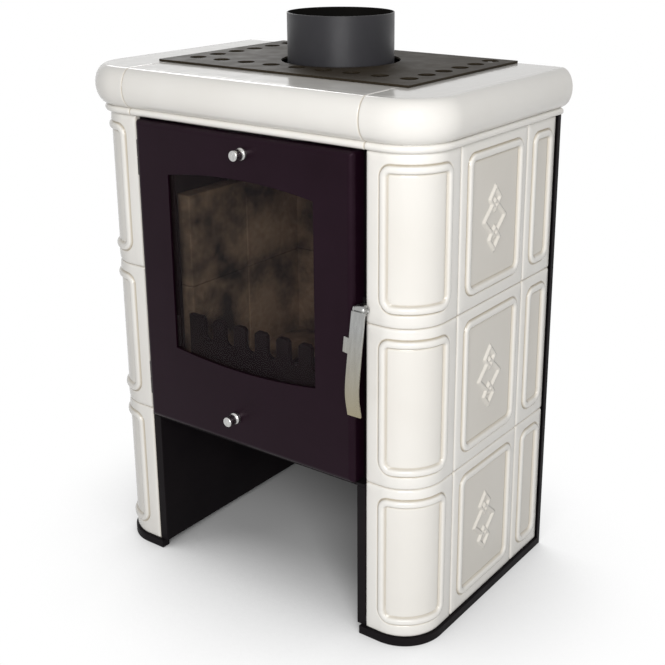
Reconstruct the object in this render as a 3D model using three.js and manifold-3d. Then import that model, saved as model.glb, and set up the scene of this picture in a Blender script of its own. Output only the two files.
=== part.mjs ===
// Tiled stove: a steel firebox with a glazed door over an open log niche, clad on both sides with
// glazed ceramic tiles and a bull-nosed ceramic crown. Millimetres, +Z up, front towards -Y.
// Inside this file Y = 0 is the face of the front tiles; the whole stove is moved at the end so
// that its origin lies on the floor under the middle of its outer box.
import * as THREE from "three";
import { mergeVertices } from "three/addons/utils/BufferGeometryUtils.js";
import Module from "manifold-3d";

const wasm = await Module();
wasm.setup();

// ---------------------------------------------------------------- driving dimensions
const seat = 0.3; // gap where two pieces rest on or against each other
const sheet = 2; // thin steel sheet
const plate = 4; // thick steel plate

// tile cladding, one casing on each side of the door
const tileRows = 3;
const tileHeight = 219.4;
const tileJoint = 0.6;
const tileThickness = 10;
const tileEdgeRound = 3;
const tileArris = 0.5; // round of the tile's upright and level back edges
const cornerRadius = 58;
const openingHalfWidth = 195;
const claddingWidth = 82; // from the edge of the opening out to the face of the side tiles
const cornerTileSide = 88; // length of the corner tile along the side
const middleTileSide = 171;
const rearTileSide = 81;
const frameInset = 16; // tile edge to the foot of the raised frame
const frameWidth = 17;
const frameSlope = 4;
const frameHeight = 2;
const fieldDepth = 1; // how far the field inside the frame is sunk
const frameCorner = 14;
const shieldFlange = 14; // upright edges of the heat shield behind the tiles

// three interlaced lozenges on the middle tiles
const lozengeHalfWidth = 29;
const lozengeHalfHeight = 26;
const smallLozengeHalfWidth = 16;
const smallLozengeHalfHeight = 17;
const lozengeBand = 5;
const lozengeHeight = 1.6;
const lozengeOffset = 29; // centre of the small lozenges above and below the large one

// plinth
const plinthHeight = 12;
const plinthProud = 2.5;
const plinthBand = 14;
const plinthReturn = 9; // how far the plinth reaches into the opening past the tiles

// crown
const crownHeight = 65;
const noseReach = 19; // how far the bull nose stands out past the tiles
const beadHeight = 10;
const beadReach = 7;
const crownWall = 12;
const crownJointPast = 2; // from the edge of the opening out to the joint
const crownJoint = 0.6;
const crownBackGap = 2.3; // between the crown and the sheet behind it

// top plate and flue collar
const topPlateThickness = 3;
const topPlateSideLap = 14; // how far the plate reaches past the crown joints
const topPlateFront = 68;
const topPlateLap = 12; // how far the plate lies on the crown
const holeRadius = 12;
const holeFrontInset = 48;
const holeSideInset = 31;
const holesAcross = 9;
const holesDownSide = 5;
const holeBackInset = 24; // centre of the last hole from the back edge of the plate
const collarRadius = 75;
const collarWall = 2;
const collarStandUp = 66;
const collarClearance = 9;
const collarHoleGap = 3; // between the front row of holes and the gap round the collar

// rear panel
const rearFlange = 9;
const rearSlotRows = 5;
const rearSlotDrop = 130; // from the top of the crown to the first slot, behind the firebox
const rearSlotPitch = 14;
const rearSlotHeight = 5;
const rearSlotHalfLength = 120;

// log niche
const nicheInset = 15; // wall of the niche from the edge of the opening
const nicheTop = 222;
const airSlot = 4; // between the shelf and the flanges of the heat shield
const shelfClearance = 4; // between the shelf and the front tiles

// firebox
const fireFrontY = 17;
const fireboxInset = 21; // outer face of the firebox from the edge of the door
const fireboxBehindCollar = 13;
const fireboxTopDrop = 29; // firebox roof below the top of the door
const fireOpeningRim = 23; // width of the firebox front beside its opening
const fireOpeningTopRim = 8;
const ashPanTopGap = 2.4; // between the ash pan and the ledges over it
const hearthThickness = 28;
const hearthLedge = 40;
const brickThickness = 25;
const brickFront = 36;
const baffleThickness = 20;
const baffleReach = 190;
const baffleRise = 22;
const baffleTopGap = 38; // way for the smoke between the baffle and the roof
const grateHalfWidth = 80;
const grateDepth = 130;
const grateThickness = 12;
const grateSlots = 7;
const grateSlotWidth = 8;
const grateBorder = 14;
const ashPanSideGap = 14; // between the ash pan and the ledges
const ashPanDepth = 225;
const ashPanHeight = 26;
const ashPanPlay = 3; // room round the ash pan in its opening
const retainerY = 25;
const retainerThickness = 8;
const retainerPlay = 0.7; // between the retainer and the side bricks
const retainerShows = 38; // above the lower corners of the window
const retainerEndTooth = 20; // least width of the two outer teeth
const retainerPitch = 38.6;
const retainerSlotWidth = 17;
const retainerSlotDepth = 26;
const retainerBevel = 4;

// door
const doorBottomGap = 3; // above the shelf
const doorTopGap = 3; // below the crown
const doorProud = 12;
const doorDepth = 25;
const doorSheet = 3;
const doorEdgeRound = 4;
const windowSideRim = 60; // width of the door sheet beside the window
const windowTopRim = 69; // from the corners of the window up to the top of the door
const windowTopArch = 10;
const windowBottomRim = 121;
const windowBottomArch = 9;
const glassLap = 11;
const glassThickness = 4;
const gasketRadius = 4.5;
const clipLength = 46;
const clipWidth = 10;
const clipRise = 22; // centre of the clips above the lower corners of the window

// hinge: two welded barrel hinges, hidden in the gap between the door and the left tiles
const hingeRadius = 4.5;
const hingePinRadius = 2.5;
const hingeGap = 0.6; // between a hinge and the edge of the door
const hingeTileGap = 1.4; // between a hinge and the tiles
const hingeLength = 50;
const hingeInset = 55; // centre of each hinge from the end of the door
const hingeStrap = 3;
const hingeAxisY = 2;
const hingeArm = 2; // thickness of the arm between the door's edge and its knuckle

// lever handle on the right edge of the door
const leverPivotRise = 243; // above the bottom of the door
const leverPivotY = -8.5;
const leverBossRadius = 7;
const leverPinRadius = 4;
const leverPinClearance = 0.3;
const leverBossGap = 4; // between the door and the boss
const leverBossLength = 15;
const leverWidth = 20;
const leverGap = 3; // from the edge of the door out to the grip
const leverThickness = 3;
const leverTopRise = 0.5; // top of the grip above the pivot
const leverDrop = 136; // from the pivot down to the end of the grip
const leverBowReach = 33;
const leverBottomReach = 28;
const leverTabWidth = 9;
const leverTabHeight = 24;
const leverTabDrop = 46; // from the pivot down to the middle of the tab
const noseThickness = 4;
const noseHeight = 10;
const keeperGap = 0.6;
const keeperReach = 8;

// air knobs, pulled straight out, and the dampers on their rods
const knobReach = 20;
const knobBaseRadius = 8.5;
const knobBaseLength = 6;
const knobWaistRadius = 4.5;
const knobCapRadius = 7;
const knobCapLength = 8;
const knobEdge = 1;
const rodRadius = 3;
const damperRadius = 9.5;
const damperThickness = 2;
const portRadius = 6.5;
const upperKnobX = 12;
const damperGap = 1.2; // between the upper damper and the gasket
const lowerKnobX = -15;
const lowerKnobRise = 42; // above the bottom of the door

// ---------------------------------------------------------------- derived places
const casingHalfWidth = openingHalfWidth + claddingWidth;
const doorSideGap = hingeGap + 2 * hingeRadius + hingeTileGap;
const doorHalfWidth = openingHalfWidth - doorSideGap;
const windowHalfWidth = doorHalfWidth - windowSideRim;
const nicheHalfWidth = openingHalfWidth - nicheInset;
const fireboxHalfWidth = doorHalfWidth - fireboxInset;
const fireOpeningHalfWidth = fireboxHalfWidth - fireOpeningRim;
const innerHalf = fireboxHalfWidth - plate;
const liningHalf = innerHalf - seat;
const ashPanHalfWidth = innerHalf - hearthLedge - ashPanSideGap;
const retainerHalfWidth = liningHalf - brickThickness - retainerPlay;
const retainerSlotOpening = retainerSlotWidth + 2 * retainerBevel;
const retainerRoom = 2 * (retainerHalfWidth - retainerEndTooth) - retainerSlotOpening;
const retainerSlots = Math.floor(retainerRoom / retainerPitch) + 1;
const crownJointX = openingHalfWidth + crownJointPast;
const topPlateHalfWidth = crownJointX + topPlateSideLap;
const leverBossLeft = doorHalfWidth + leverBossGap;
const leverBossRight = leverBossLeft + leverBossLength;
const leverLeft = doorHalfWidth + leverGap;
const pitch = tileHeight + tileJoint;
const tilesBottom = plinthHeight + seat;
const tilesTop = tilesBottom + tileRows * pitch - tileJoint;
const casingDepth = cornerTileSide + middleTileSide + rearTileSide;
const crownBottom = tilesTop + seat;
const crownTop = crownBottom + crownHeight;
const topPlateZ = crownTop + seat;
const collarTop = topPlateZ + topPlateThickness + collarStandUp;
const doorTop = crownBottom - doorTopGap;
const doorFront = -doorProud;
const doorBack = doorFront + doorDepth;
const fireInnerY = fireFrontY + plate;
const collarOpening = collarRadius + collarClearance;
const holeRowY = topPlateFront + holeFrontInset;
const collarY = holeRowY + holeRadius + collarHoleGap + collarOpening;
const fireBackY = collarY + collarRadius + fireboxBehindCollar;
const rearFront = casingDepth + seat;
const rearBack = rearFront + rearFlange;
const crownBack = rearBack - sheet - crownBackGap;
const holeSidePitch = (crownBack - holeBackInset - holeRowY) / holesDownSide;
const shelfTop = nicheTop + plate;
const doorBottom = shelfTop + doorBottomGap;
const windowTopCorner = doorTop - windowTopRim;
const windowBottomCorner = doorBottom + windowBottomRim;
const clipZ = windowBottomCorner + clipRise;
const gasketInnerInset = doorSheet + seat + 2 * gasketRadius;
const upperKnobZ = doorTop - gasketInnerInset - damperGap - damperRadius;
const lowerKnobZ = doorBottom + lowerKnobRise;
const leverPivotZ = doorBottom + leverPivotRise;
const leverBottomZ = leverPivotZ - leverDrop;
const leverTabZ = leverPivotZ - leverTabDrop;
const fireboxTopZ = doorTop - fireboxTopDrop;
const fireOpeningTop = fireboxTopZ - fireOpeningTopRim;
const fireboxFoot = shelfTop + seat;
const hearthPlateZ = fireboxFoot + ashPanHeight + ashPanTopGap + plate + seat;
const retainerTopZ = windowBottomCorner + retainerShows;
const frontReach = Math.max(leverBowReach, doorProud + knobReach);
const originShift = (rearBack - frontReach) / 2;
const hingeAxisX = -doorHalfWidth - hingeRadius - hingeGap;
const hingeCentres = [doorBottom + hingeInset, doorTop - hingeInset];
const innerEdge = openingHalfWidth - seat * 3; // outer edge of the steel between the two casings

// ---------------------------------------------------------------- materials
function material(color, roughness, metalness) {
  return new THREE.MeshStandardMaterial({ color, roughness, metalness });
}
const glaze = material(0xe4e0d9, 0.18, 0);
const doorPaint = material(0x2a2228, 0.45, 0.3);
const blackSteel = material(0x1c1a1c, 0.6, 0.4);
const plateSteel = material(0x2e2a24, 0.5, 0.5);
const collarSteel = material(0x454347, 0.45, 0.6);
const brushedSteel = material(0xa4a6a0, 0.3, 0.95);
const castIron = material(0x262321, 0.75, 0.4);
const chamotte = material(0x8d7a60, 0.95, 0);
const ceramicGlass = material(0x221d1a, 0.05, 0);
const rope = material(0x4a4744, 1, 0);
const galvanised = material(0x6b6b69, 0.5, 0.8);

// ---------------------------------------------------------------- solids
function solid(geometry) {
  const bare = geometry.clone();
  bare.deleteAttribute("normal");
  bare.deleteAttribute("uv");
  const merged = mergeVertices(bare, 1e-4);
  return new wasm.Manifold(new wasm.Mesh({
    numProp: 3,
    vertProperties: new Float32Array(merged.attributes.position.array),
    triVerts: new Uint32Array(merged.index.array),
  }));
}

function geometryOf(body) {
  const mesh = body.getMesh();
  const geometry = new THREE.BufferGeometry();
  geometry.setAttribute("position", new THREE.BufferAttribute(new Float32Array(mesh.vertProperties), 3));
  geometry.setIndex(new THREE.BufferAttribute(new Uint32Array(mesh.triVerts), 1));
  return geometry;
}

function cut(geometry, ...tools) {
  return geometryOf(tools.reduce((body, tool) => body.subtract(solid(tool)), solid(geometry)));
}

function join(...pieces) {
  return geometryOf(pieces.slice(1).reduce((body, piece) => body.add(solid(piece)), solid(pieces[0])));
}

function block(x0, x1, y0, y1, z0, z1) {
  const box = new THREE.BoxGeometry(x1 - x0, y1 - y0, z1 - z0);
  box.translate((x0 + x1) / 2, (y0 + y1) / 2, (z0 + z1) / 2);
  return box;
}

function rectangle(x0, x1, y0, y1) {
  const shape = new THREE.Shape();
  shape.moveTo(x0, y0);
  shape.lineTo(x1, y0);
  shape.lineTo(x1, y1);
  shape.lineTo(x0, y1);
  shape.closePath();
  return shape;
}

function roundHole(x, y, radius) {
  const path = new THREE.Path();
  path.absarc(x, y, radius, 0, 2 * Math.PI, true);
  return path;
}

// a shape drawn in X and Y, raised from z0 to z1
function raised(shape, z0, z1, curveSegments = 6) {
  const body = new THREE.ExtrudeGeometry(shape, { depth: z1 - z0, bevelEnabled: false, curveSegments });
  body.translate(0, 0, z0);
  return body;
}

// a shape drawn in X and Z, carried from y0 back to y1
function deep(shape, y0, y1, curveSegments = 6) {
  const body = new THREE.ExtrudeGeometry(shape, { depth: y1 - y0, bevelEnabled: false, curveSegments });
  body.rotateX(Math.PI / 2);
  body.translate(0, y1, 0);
  return body;
}

// a shape drawn in Y and Z, carried from x0 to x1
function wide(shape, x0, x1, curveSegments = 6) {
  const body = new THREE.ExtrudeGeometry(shape, { depth: x1 - x0, bevelEnabled: false, curveSegments });
  body.rotateY(Math.PI / 2);
  body.rotateX(Math.PI / 2);
  body.translate(x0, 0, 0);
  return body;
}

function mirrored(geometry) {
  const copy = geometry.index ? geometry.clone() : mergeVertices(geometry);
  copy.scale(-1, 1, 1);
  const index = copy.index.array;
  for (let i = 0; i < index.length; i += 3) {
    [index[i], index[i + 1]] = [index[i + 1], index[i]];
  }
  return copy;
}

// ---------------------------------------------------------------- the scene graph
const stove = new THREE.Group();
stove.position.y = -originShift;

function add(name, geometry, look) {
  const mesh = new THREE.Mesh(geometry, look);
  mesh.name = name;
  stove.add(mesh);
  return mesh;
}

// ---------------------------------------------------------------- tiles
// The plan of the right casing's outer face, by the distance s along it from the door opening:
// a straight front, a quarter round, then the straight side. Lift is measured outward.
const frontStraight = casingHalfWidth - openingHalfWidth - cornerRadius;
const arcLength = (cornerRadius * Math.PI) / 2;
const sideStart = frontStraight + arcLength;

function onFace(s, lift, z) {
  if (s <= frontStraight) {
    return [openingHalfWidth + s, -lift, z];
  }
  if (s >= sideStart) {
    return [casingHalfWidth + lift, cornerRadius + s - sideStart, z];
  }
  const turn = (s - frontStraight) / cornerRadius;
  const reach = cornerRadius + lift;
  return [
    casingHalfWidth - cornerRadius + reach * Math.sin(turn),
    cornerRadius - reach * Math.cos(turn),
    z,
  ];
}

// One closed loop round a tile, inset from its edges and with rounded corners. The long edges
// carry extra points where the tile bends round the corner of the stove.
const turns = 3; // steps round each corner of a loop
function tileLoop(s0, s1, z0, z1, inset, radius, lift, bends) {
  const points = [];
  const left = s0 + inset;
  const right = s1 - inset;
  const low = z0 + inset;
  const high = z1 - inset;
  const corners = [
    [left + radius, low + radius, Math.PI],
    [right - radius, low + radius, -Math.PI / 2],
    [right - radius, high - radius, 0],
    [left + radius, high - radius, Math.PI / 2],
  ];
  corners.forEach(([s, z, start], corner) => {
    for (let step = 0; step <= turns; step += 1) {
      const angle = start + (step / turns) * (Math.PI / 2);
      points.push([s + radius * Math.cos(angle), z + radius * Math.sin(angle)]);
    }
    if (corner % 2 === 0) {
      const from = points[points.length - 1];
      const to = corner === 0 ? right - radius : left + radius;
      for (let step = 1; step <= bends; step += 1) {
        points.push([from[0] + ((to - from[0]) * step) / (bends + 1), from[1]]);
      }
    }
  });
  return points.map(([s, z]) => onFace(s, lift, z));
}

// A cap over a loop, made of strips from its lower edge to its upper edge, so that it bends too.
function capTriangles(first, bends, flip) {
  const lower = [];
  const upper = [];
  const quarter = turns + 1;
  for (let i = turns; i <= quarter + bends; i += 1) {
    lower.push(first + i);
  }
  const half = 2 * quarter + bends;
  for (let i = turns; i <= quarter + bends; i += 1) {
    upper.push(first + half + i);
  }
  upper.reverse();
  const leftSide = [];
  for (let i = 0; i < turns; i += 1) {
    leftSide.push([first + i, first + 2 * half - 1 - i]);
  }
  const rightSide = [];
  for (let i = 1; i <= turns; i += 1) {
    rightSide.push([first + quarter + bends + i, first + 2 * quarter + bends + turns - i]);
  }
  const rungs = [...leftSide, ...lower.map((low, i) => [low, upper[i]]), ...rightSide];
  const triangles = [];
  for (let i = 0; i + 1 < rungs.length; i += 1) {
    const [a, d] = rungs[i];
    const [b, c] = rungs[i + 1];
    if (flip) {
      triangles.push(a, c, b);
      if (c !== d) triangles.push(a, d, c);
    } else {
      triangles.push(a, b, c);
      if (c !== d) triangles.push(a, c, d);
    }
  }
  return triangles;
}

function tileGeometry(s0, s1, row) {
  const crossesCorner = s0 < sideStart;
  const bends = crossesCorner ? 6 : 0;
  const z0 = tilesBottom + row * pitch;
  const z1 = z0 + tileHeight;
  const crest = frameInset + frameSlope;
  const crestEnd = frameInset + frameWidth - frameSlope;
  const field = frameInset + frameWidth;
  const loops = [
    [0, tileArris, -tileThickness],
    [0, tileArris, -tileEdgeRound],
    [tileEdgeRound, tileEdgeRound, 0],
    [frameInset, frameCorner, 0],
    [crest, frameCorner - frameSlope / 2, frameHeight],
    [crestEnd, frameCorner - frameSlope, frameHeight],
    [field, frameCorner - frameSlope * 2, -fieldDepth],
  ];
  const positions = [];
  const triangles = [];
  let count = 0;
  loops.forEach(([inset, radius, lift], ring) => {
    const points = tileLoop(s0, s1, z0, z1, inset, radius, lift, bends);
    count = points.length;
    points.forEach((point) => positions.push(...point));
    if (ring > 0) {
      const outer = (ring - 1) * count;
      const inner = ring * count;
      for (let i = 0; i < count; i += 1) {
        const next = (i + 1) % count;
        triangles.push(outer + i, outer + next, inner + next, outer + i, inner + next, inner + i);
      }
    }
  });
  triangles.push(...capTriangles((loops.length - 1) * count, bends, false));
  triangles.push(...capTriangles(0, bends, true));
  const geometry = new THREE.BufferGeometry();
  geometry.setAttribute("position", new THREE.Float32BufferAttribute(positions, 3));
  geometry.setIndex(triangles);
  return geometry;
}

function lozengeBody(y, z, halfWidth, halfHeight) {
  const ring = (grow) => {
    const scale = 1 + grow / Math.min(halfWidth, halfHeight);
    return [
      [y - halfWidth * scale, z],
      [y, z - halfHeight * scale],
      [y + halfWidth * scale, z],
      [y, z + halfHeight * scale],
    ].map(([a, b]) => new THREE.Vector2(a, b));
  };
  const shape = new THREE.Shape(ring(lozengeBand / 2));
  shape.holes.push(new THREE.Path(ring(-lozengeBand / 2)));
  const from = casingHalfWidth - tileThickness / 2;
  return wide(shape, from, casingHalfWidth - fieldDepth + lozengeHeight);
}

function withOrnament(tile, row) {
  const y = cornerTileSide + middleTileSide / 2;
  const z = tilesBottom + row * pitch + tileHeight / 2;
  return join(
    tile,
    lozengeBody(y, z, lozengeHalfWidth, lozengeHalfHeight),
    lozengeBody(y, z + lozengeOffset, smallLozengeHalfWidth, smallLozengeHalfHeight),
    lozengeBody(y, z - lozengeOffset, smallLozengeHalfWidth, smallLozengeHalfHeight),
  );
}

const sideOf = (y) => sideStart + y - cornerRadius;
const rowNames = ["bottom", "middle", "top"];
const tileSpans = {
  corner: [0, sideOf(cornerTileSide) - tileJoint],
  side: [sideOf(cornerTileSide), sideOf(cornerTileSide + middleTileSide) - tileJoint],
  rear: [sideOf(cornerTileSide + middleTileSide), sideOf(casingDepth)],
};
rowNames.forEach((rowName, row) => {
  Object.entries(tileSpans).forEach(([place, [s0, s1]]) => {
    const plain = tileGeometry(s0, s1, row);
    const tile = place === "side" ? withOrnament(plain, row) : plain;
    add(`tile_right_${rowName}_${place}`, tile, glaze);
    add(`tile_left_${rowName}_${place}`, mirrored(tile), glaze);
  });
});

// ---------------------------------------------------------------- plinths
function plinthGeometry() {
  const outer = new THREE.Shape();
  const edge = casingHalfWidth + plinthProud;
  const radius = cornerRadius + plinthProud;
  const start = openingHalfWidth - plinthReturn;
  outer.moveTo(start, -plinthProud);
  outer.lineTo(edge - radius, -plinthProud);
  outer.absarc(edge - radius, radius - plinthProud, radius, -Math.PI / 2, 0, false);
  outer.lineTo(edge, rearFront - seat);
  outer.lineTo(edge - plinthBand, rearFront - seat);
  outer.lineTo(edge - plinthBand, radius - plinthProud);
  outer.absarc(edge - radius, radius - plinthProud, radius - plinthBand, 0, -Math.PI / 2, true);
  outer.lineTo(start, plinthBand - plinthProud);
  outer.closePath();
  return raised(outer, 0, plinthHeight, 6);
}
add("plinth_right", plinthGeometry(), blackSteel);
add("plinth_left", mirrored(plinthGeometry()), blackSteel);

// ---------------------------------------------------------------- crown
// The moulding's section by outward reach and height: a bull nose over a small bead.
function crownSection(inner) {
  const nose = (crownHeight - beadHeight) / 2;
  const points = [[inner, crownHeight], [0, crownHeight]];
  const steps = 9;
  for (let i = 1; i <= steps; i += 1) {
    const angle = Math.PI / 2 - (i / steps) * Math.PI;
    points.push([noseReach * Math.cos(angle), beadHeight + nose + nose * Math.sin(angle)]);
  }
  const beadSteps = 4;
  const beadRadius = beadHeight / 2;
  for (let i = 1; i <= beadSteps; i += 1) {
    const angle = Math.PI / 2 - (i / beadSteps) * Math.PI;
    points.push([
      beadReach - beadRadius + beadRadius * Math.cos(angle),
      beadRadius + beadRadius * Math.sin(angle),
    ]);
  }
  points.push([-tileThickness, 0]);
  points.push([-tileThickness, crownHeight - crownWall]);
  points.push([inner, crownHeight - crownWall]);
  return points;
}

function crownSweep(section, stations) {
  const positions = [];
  stations.forEach((s) => {
    section.forEach(([lift, z]) => positions.push(...onFace(s, lift, crownBottom + z)));
  });
  const triangles = [];
  const count = section.length;
  for (let ring = 0; ring + 1 < stations.length; ring += 1) {
    for (let i = 0; i < count; i += 1) {
      const next = (i + 1) % count;
      const a = ring * count + i;
      const b = ring * count + next;
      triangles.push(a, b, b + count, a, b + count, a + count);
    }
  }
  const outline = section.map(([lift, z]) => new THREE.Vector2(lift, z));
  const last = (stations.length - 1) * count;
  THREE.ShapeUtils.triangulateShape(outline, []).forEach(([a, b, c]) => {
    triangles.push(a, b, c);
    triangles.push(last + a, last + c, last + b);
  });
  const geometry = new THREE.BufferGeometry();
  geometry.setAttribute("position", new THREE.Float32BufferAttribute(positions, 3));
  geometry.setIndex(triangles);
  return geometry;
}

function crownSide() {
  const stations = [crownJointX + crownJoint / 2 - openingHalfWidth, frontStraight];
  const bends = 7;
  for (let i = 1; i <= bends; i += 1) {
    stations.push(frontStraight + (arcLength * i) / bends);
  }
  stations.push(sideOf(crownBack));
  const reach = cornerRadius - crownWall;
  const moulding = crownSweep(crownSection(-reach), stations);
  const slab = block(
    crownJointX + crownJoint / 2,
    casingHalfWidth - crownWall * 2,
    crownWall * 2,
    crownBack,
    crownTop - crownWall,
    crownTop,
  );
  return join(moulding, slab);
}

function crownFront() {
  const half = crownJointX - crownJoint / 2;
  const inner = -(topPlateFront + topPlateLap);
  const section = crownSection(inner).map(([lift, z]) => new THREE.Vector2(-lift, z));
  const body = wide(new THREE.Shape(section), -half, half);
  body.translate(0, 0, crownBottom);
  return body;
}
const crownRight = crownSide();
add("crown_right", crownRight, glaze);
add("crown_left", mirrored(crownRight), glaze);
add("crown_front", crownFront(), glaze);

// ---------------------------------------------------------------- top plate and flue collar
function topPlate() {
  const outline = rectangle(-topPlateHalfWidth, topPlateHalfWidth, topPlateFront, crownBack);
  const sideX = topPlateHalfWidth - holeSideInset;
  const pitchAcross = (2 * sideX) / (holesAcross - 1);
  for (let i = 0; i < holesAcross; i += 1) {
    outline.holes.push(roundHole(-sideX + i * pitchAcross, holeRowY, holeRadius));
  }
  for (let i = 1; i <= holesDownSide; i += 1) {
    outline.holes.push(roundHole(sideX, holeRowY + i * holeSidePitch, holeRadius));
    outline.holes.push(roundHole(-sideX, holeRowY + i * holeSidePitch, holeRadius));
  }
  outline.holes.push(roundHole(0, collarY, collarOpening));
  return raised(outline, topPlateZ, topPlateZ + topPlateThickness, 6);
}
add("top_plate", topPlate(), plateSteel);

function ring(outerRadius, innerRadius, length, segments) {
  const profile = [
    [innerRadius, 0],
    [outerRadius, 0],
    [outerRadius, length],
    [innerRadius, length],
    [innerRadius, 0],
  ].map(([r, h]) => new THREE.Vector2(r, h));
  const body = new THREE.LatheGeometry(profile, segments);
  body.rotateX(Math.PI / 2);
  return body;
}
const fireboxRoofTop = fireboxTopZ + plate;
const collarFoot = fireboxRoofTop + seat;
const collar = ring(collarRadius, collarRadius - collarWall, collarTop - collarFoot, 32);
collar.translate(0, collarY, collarFoot);
add("flue_collar", collar, collarSteel);

// ---------------------------------------------------------------- rear panel
function rearPanel() {
  const half = casingHalfWidth + plinthProud - seat;
  const pan = block(-half, half, rearFront, rearBack, 0, tilesTop);
  const hollowHalf = half - sheet;
  const hollowBack = rearBack - sheet;
  const hollow = block(-hollowHalf, hollowHalf, rearFront - seat, hollowBack, sheet, tilesTop - sheet);
  const upperHalf = casingHalfWidth - crownWall;
  const upperTop = crownTop - crownWall / 2;
  const upper = block(-upperHalf, upperHalf, rearBack - sheet, rearBack, tilesTop - sheet, upperTop);
  const slots = [];
  for (let i = 0; i < rearSlotRows; i += 1) {
    const z = crownTop - rearSlotDrop - i * rearSlotPitch;
    const top = z + rearSlotHeight;
    slots.push(block(-rearSlotHalfLength, rearSlotHalfLength, rearFront, rearBack + sheet, z, top));
  }
  return cut(join(cut(pan, hollow), upper), ...slots);
}
add("rear_panel", rearPanel(), blackSteel);

// ---------------------------------------------------------------- steel inner casing
// a wall of the log niche with its front flange, set back by one sheet
function nicheSide() {
  const shape = new THREE.Shape();
  const inner = nicheHalfWidth;
  const front = sheet;
  shape.moveTo(inner, front);
  shape.lineTo(innerEdge, front);
  shape.lineTo(innerEdge, front + sheet);
  shape.lineTo(inner + sheet, front + sheet);
  shape.lineTo(inner + sheet, rearFront - seat);
  shape.lineTo(inner, rearFront - seat);
  shape.closePath();
  return raised(shape, plinthHeight + seat, nicheTop - seat);
}
add("niche_side_right", nicheSide(), blackSteel);
add("niche_side_left", mirrored(nicheSide()), blackSteel);

// Shelf that carries the firebox. Behind the front tiles it widens to the side tiles, with its
// corners cut off inside the curved ones, and leaves a slot on each side for the warm air.
function fireboxShelf() {
  const wide = casingHalfWidth - tileThickness - shieldFlange - airSlot;
  const back = rearFront - seat;
  const behindTiles = tileThickness + shelfClearance;
  const corner = casingHalfWidth - cornerRadius;
  const right = [
    [innerEdge, sheet],
    [innerEdge, behindTiles],
    [corner, behindTiles],
    [wide, cornerRadius],
    [wide, back],
  ];
  const left = right.map(([x, y]) => [-x, y]).reverse();
  const points = [...right, ...left].map(([x, y]) => new THREE.Vector2(x, y));
  return raised(new THREE.Shape(points), nicheTop, shelfTop);
}
add("firebox_shelf", fireboxShelf(), blackSteel);

// heat shield behind the side tiles, with both upright edges turned inwards
function tileShield() {
  const face = casingHalfWidth - tileThickness - seat;
  const front = cornerRadius + tileThickness;
  const back = rearFront - seat;
  const shape = new THREE.Shape();
  shape.moveTo(face, front);
  shape.lineTo(face, back);
  shape.lineTo(face - shieldFlange, back);
  shape.lineTo(face - shieldFlange, back - sheet);
  shape.lineTo(face - sheet, back - sheet);
  shape.lineTo(face - sheet, front + sheet);
  shape.lineTo(face - shieldFlange, front + sheet);
  shape.lineTo(face - shieldFlange, front);
  shape.closePath();
  return raised(shape, plinthHeight + seat, tilesTop);
}
add("tile_shield_right", tileShield(), galvanised);
add("tile_shield_left", mirrored(tileShield()), galvanised);

// ---------------------------------------------------------------- firebox
const hearthZ = hearthPlateZ + sheet + seat;
const hearthTop = hearthZ + hearthThickness;
const frontHalfWidth = innerEdge - keeperGap;
function fireboxFront() {
  const ashHalf = ashPanHalfWidth + ashPanPlay;
  const ashTop = fireboxFoot + ashPanHeight + ashPanPlay;
  const outline = new THREE.Shape();
  outline.moveTo(-frontHalfWidth, fireboxFoot);
  outline.lineTo(-ashHalf, fireboxFoot);
  outline.lineTo(-ashHalf, ashTop);
  outline.lineTo(ashHalf, ashTop);
  outline.lineTo(ashHalf, fireboxFoot);
  outline.lineTo(frontHalfWidth, fireboxFoot);
  outline.lineTo(frontHalfWidth, tilesTop);
  outline.lineTo(-frontHalfWidth, tilesTop);
  outline.closePath();
  outline.holes.push(rectangle(-fireOpeningHalfWidth, fireOpeningHalfWidth, hearthTop, fireOpeningTop));
  outline.holes.push(roundHole(upperKnobX, upperKnobZ, portRadius));
  outline.holes.push(roundHole(lowerKnobX, lowerKnobZ, portRadius));
  const keeper = block(
    doorHalfWidth + keeperGap,
    frontHalfWidth - seat * 3,
    fireFrontY - keeperReach,
    fireFrontY + plate / 2,
    leverPivotZ - noseHeight,
    leverPivotZ + noseHeight,
  );
  return join(deep(outline, fireFrontY, fireInnerY), keeper);
}
add("firebox_front", fireboxFront(), blackSteel);
const wallFront = fireInnerY + seat;
const wallTop = fireboxTopZ - seat;
// side wall with the ledge that carries the hearth plate
function fireboxWall() {
  const shape = new THREE.Shape();
  const ledge = innerHalf - hearthLedge;
  const top = hearthPlateZ - seat;
  shape.moveTo(fireboxHalfWidth, fireboxFoot);
  shape.lineTo(fireboxHalfWidth, wallTop);
  shape.lineTo(innerHalf, wallTop);
  shape.lineTo(innerHalf, top);
  shape.lineTo(ledge, top);
  shape.lineTo(ledge, top - plate);
  shape.lineTo(innerHalf, top - plate);
  shape.lineTo(innerHalf, fireboxFoot);
  shape.closePath();
  return deep(shape, wallFront, fireBackY);
}
add("firebox_right", fireboxWall(), blackSteel);
add("firebox_left", mirrored(fireboxWall()), blackSteel);
add(
  "firebox_back",
  block(
    -fireboxHalfWidth,
    fireboxHalfWidth,
    fireBackY + seat,
    fireBackY + seat + plate,
    fireboxFoot,
    wallTop,
  ),
  blackSteel,
);
function fireboxRoof() {
  const outline = rectangle(-fireboxHalfWidth, fireboxHalfWidth, wallFront, fireBackY + seat + plate);
  outline.holes.push(roundHole(0, collarY, collarRadius - collarWall));
  return raised(outline, fireboxTopZ, fireboxRoofTop, 6);
}
add("firebox_roof", fireboxRoof(), blackSteel);

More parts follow.
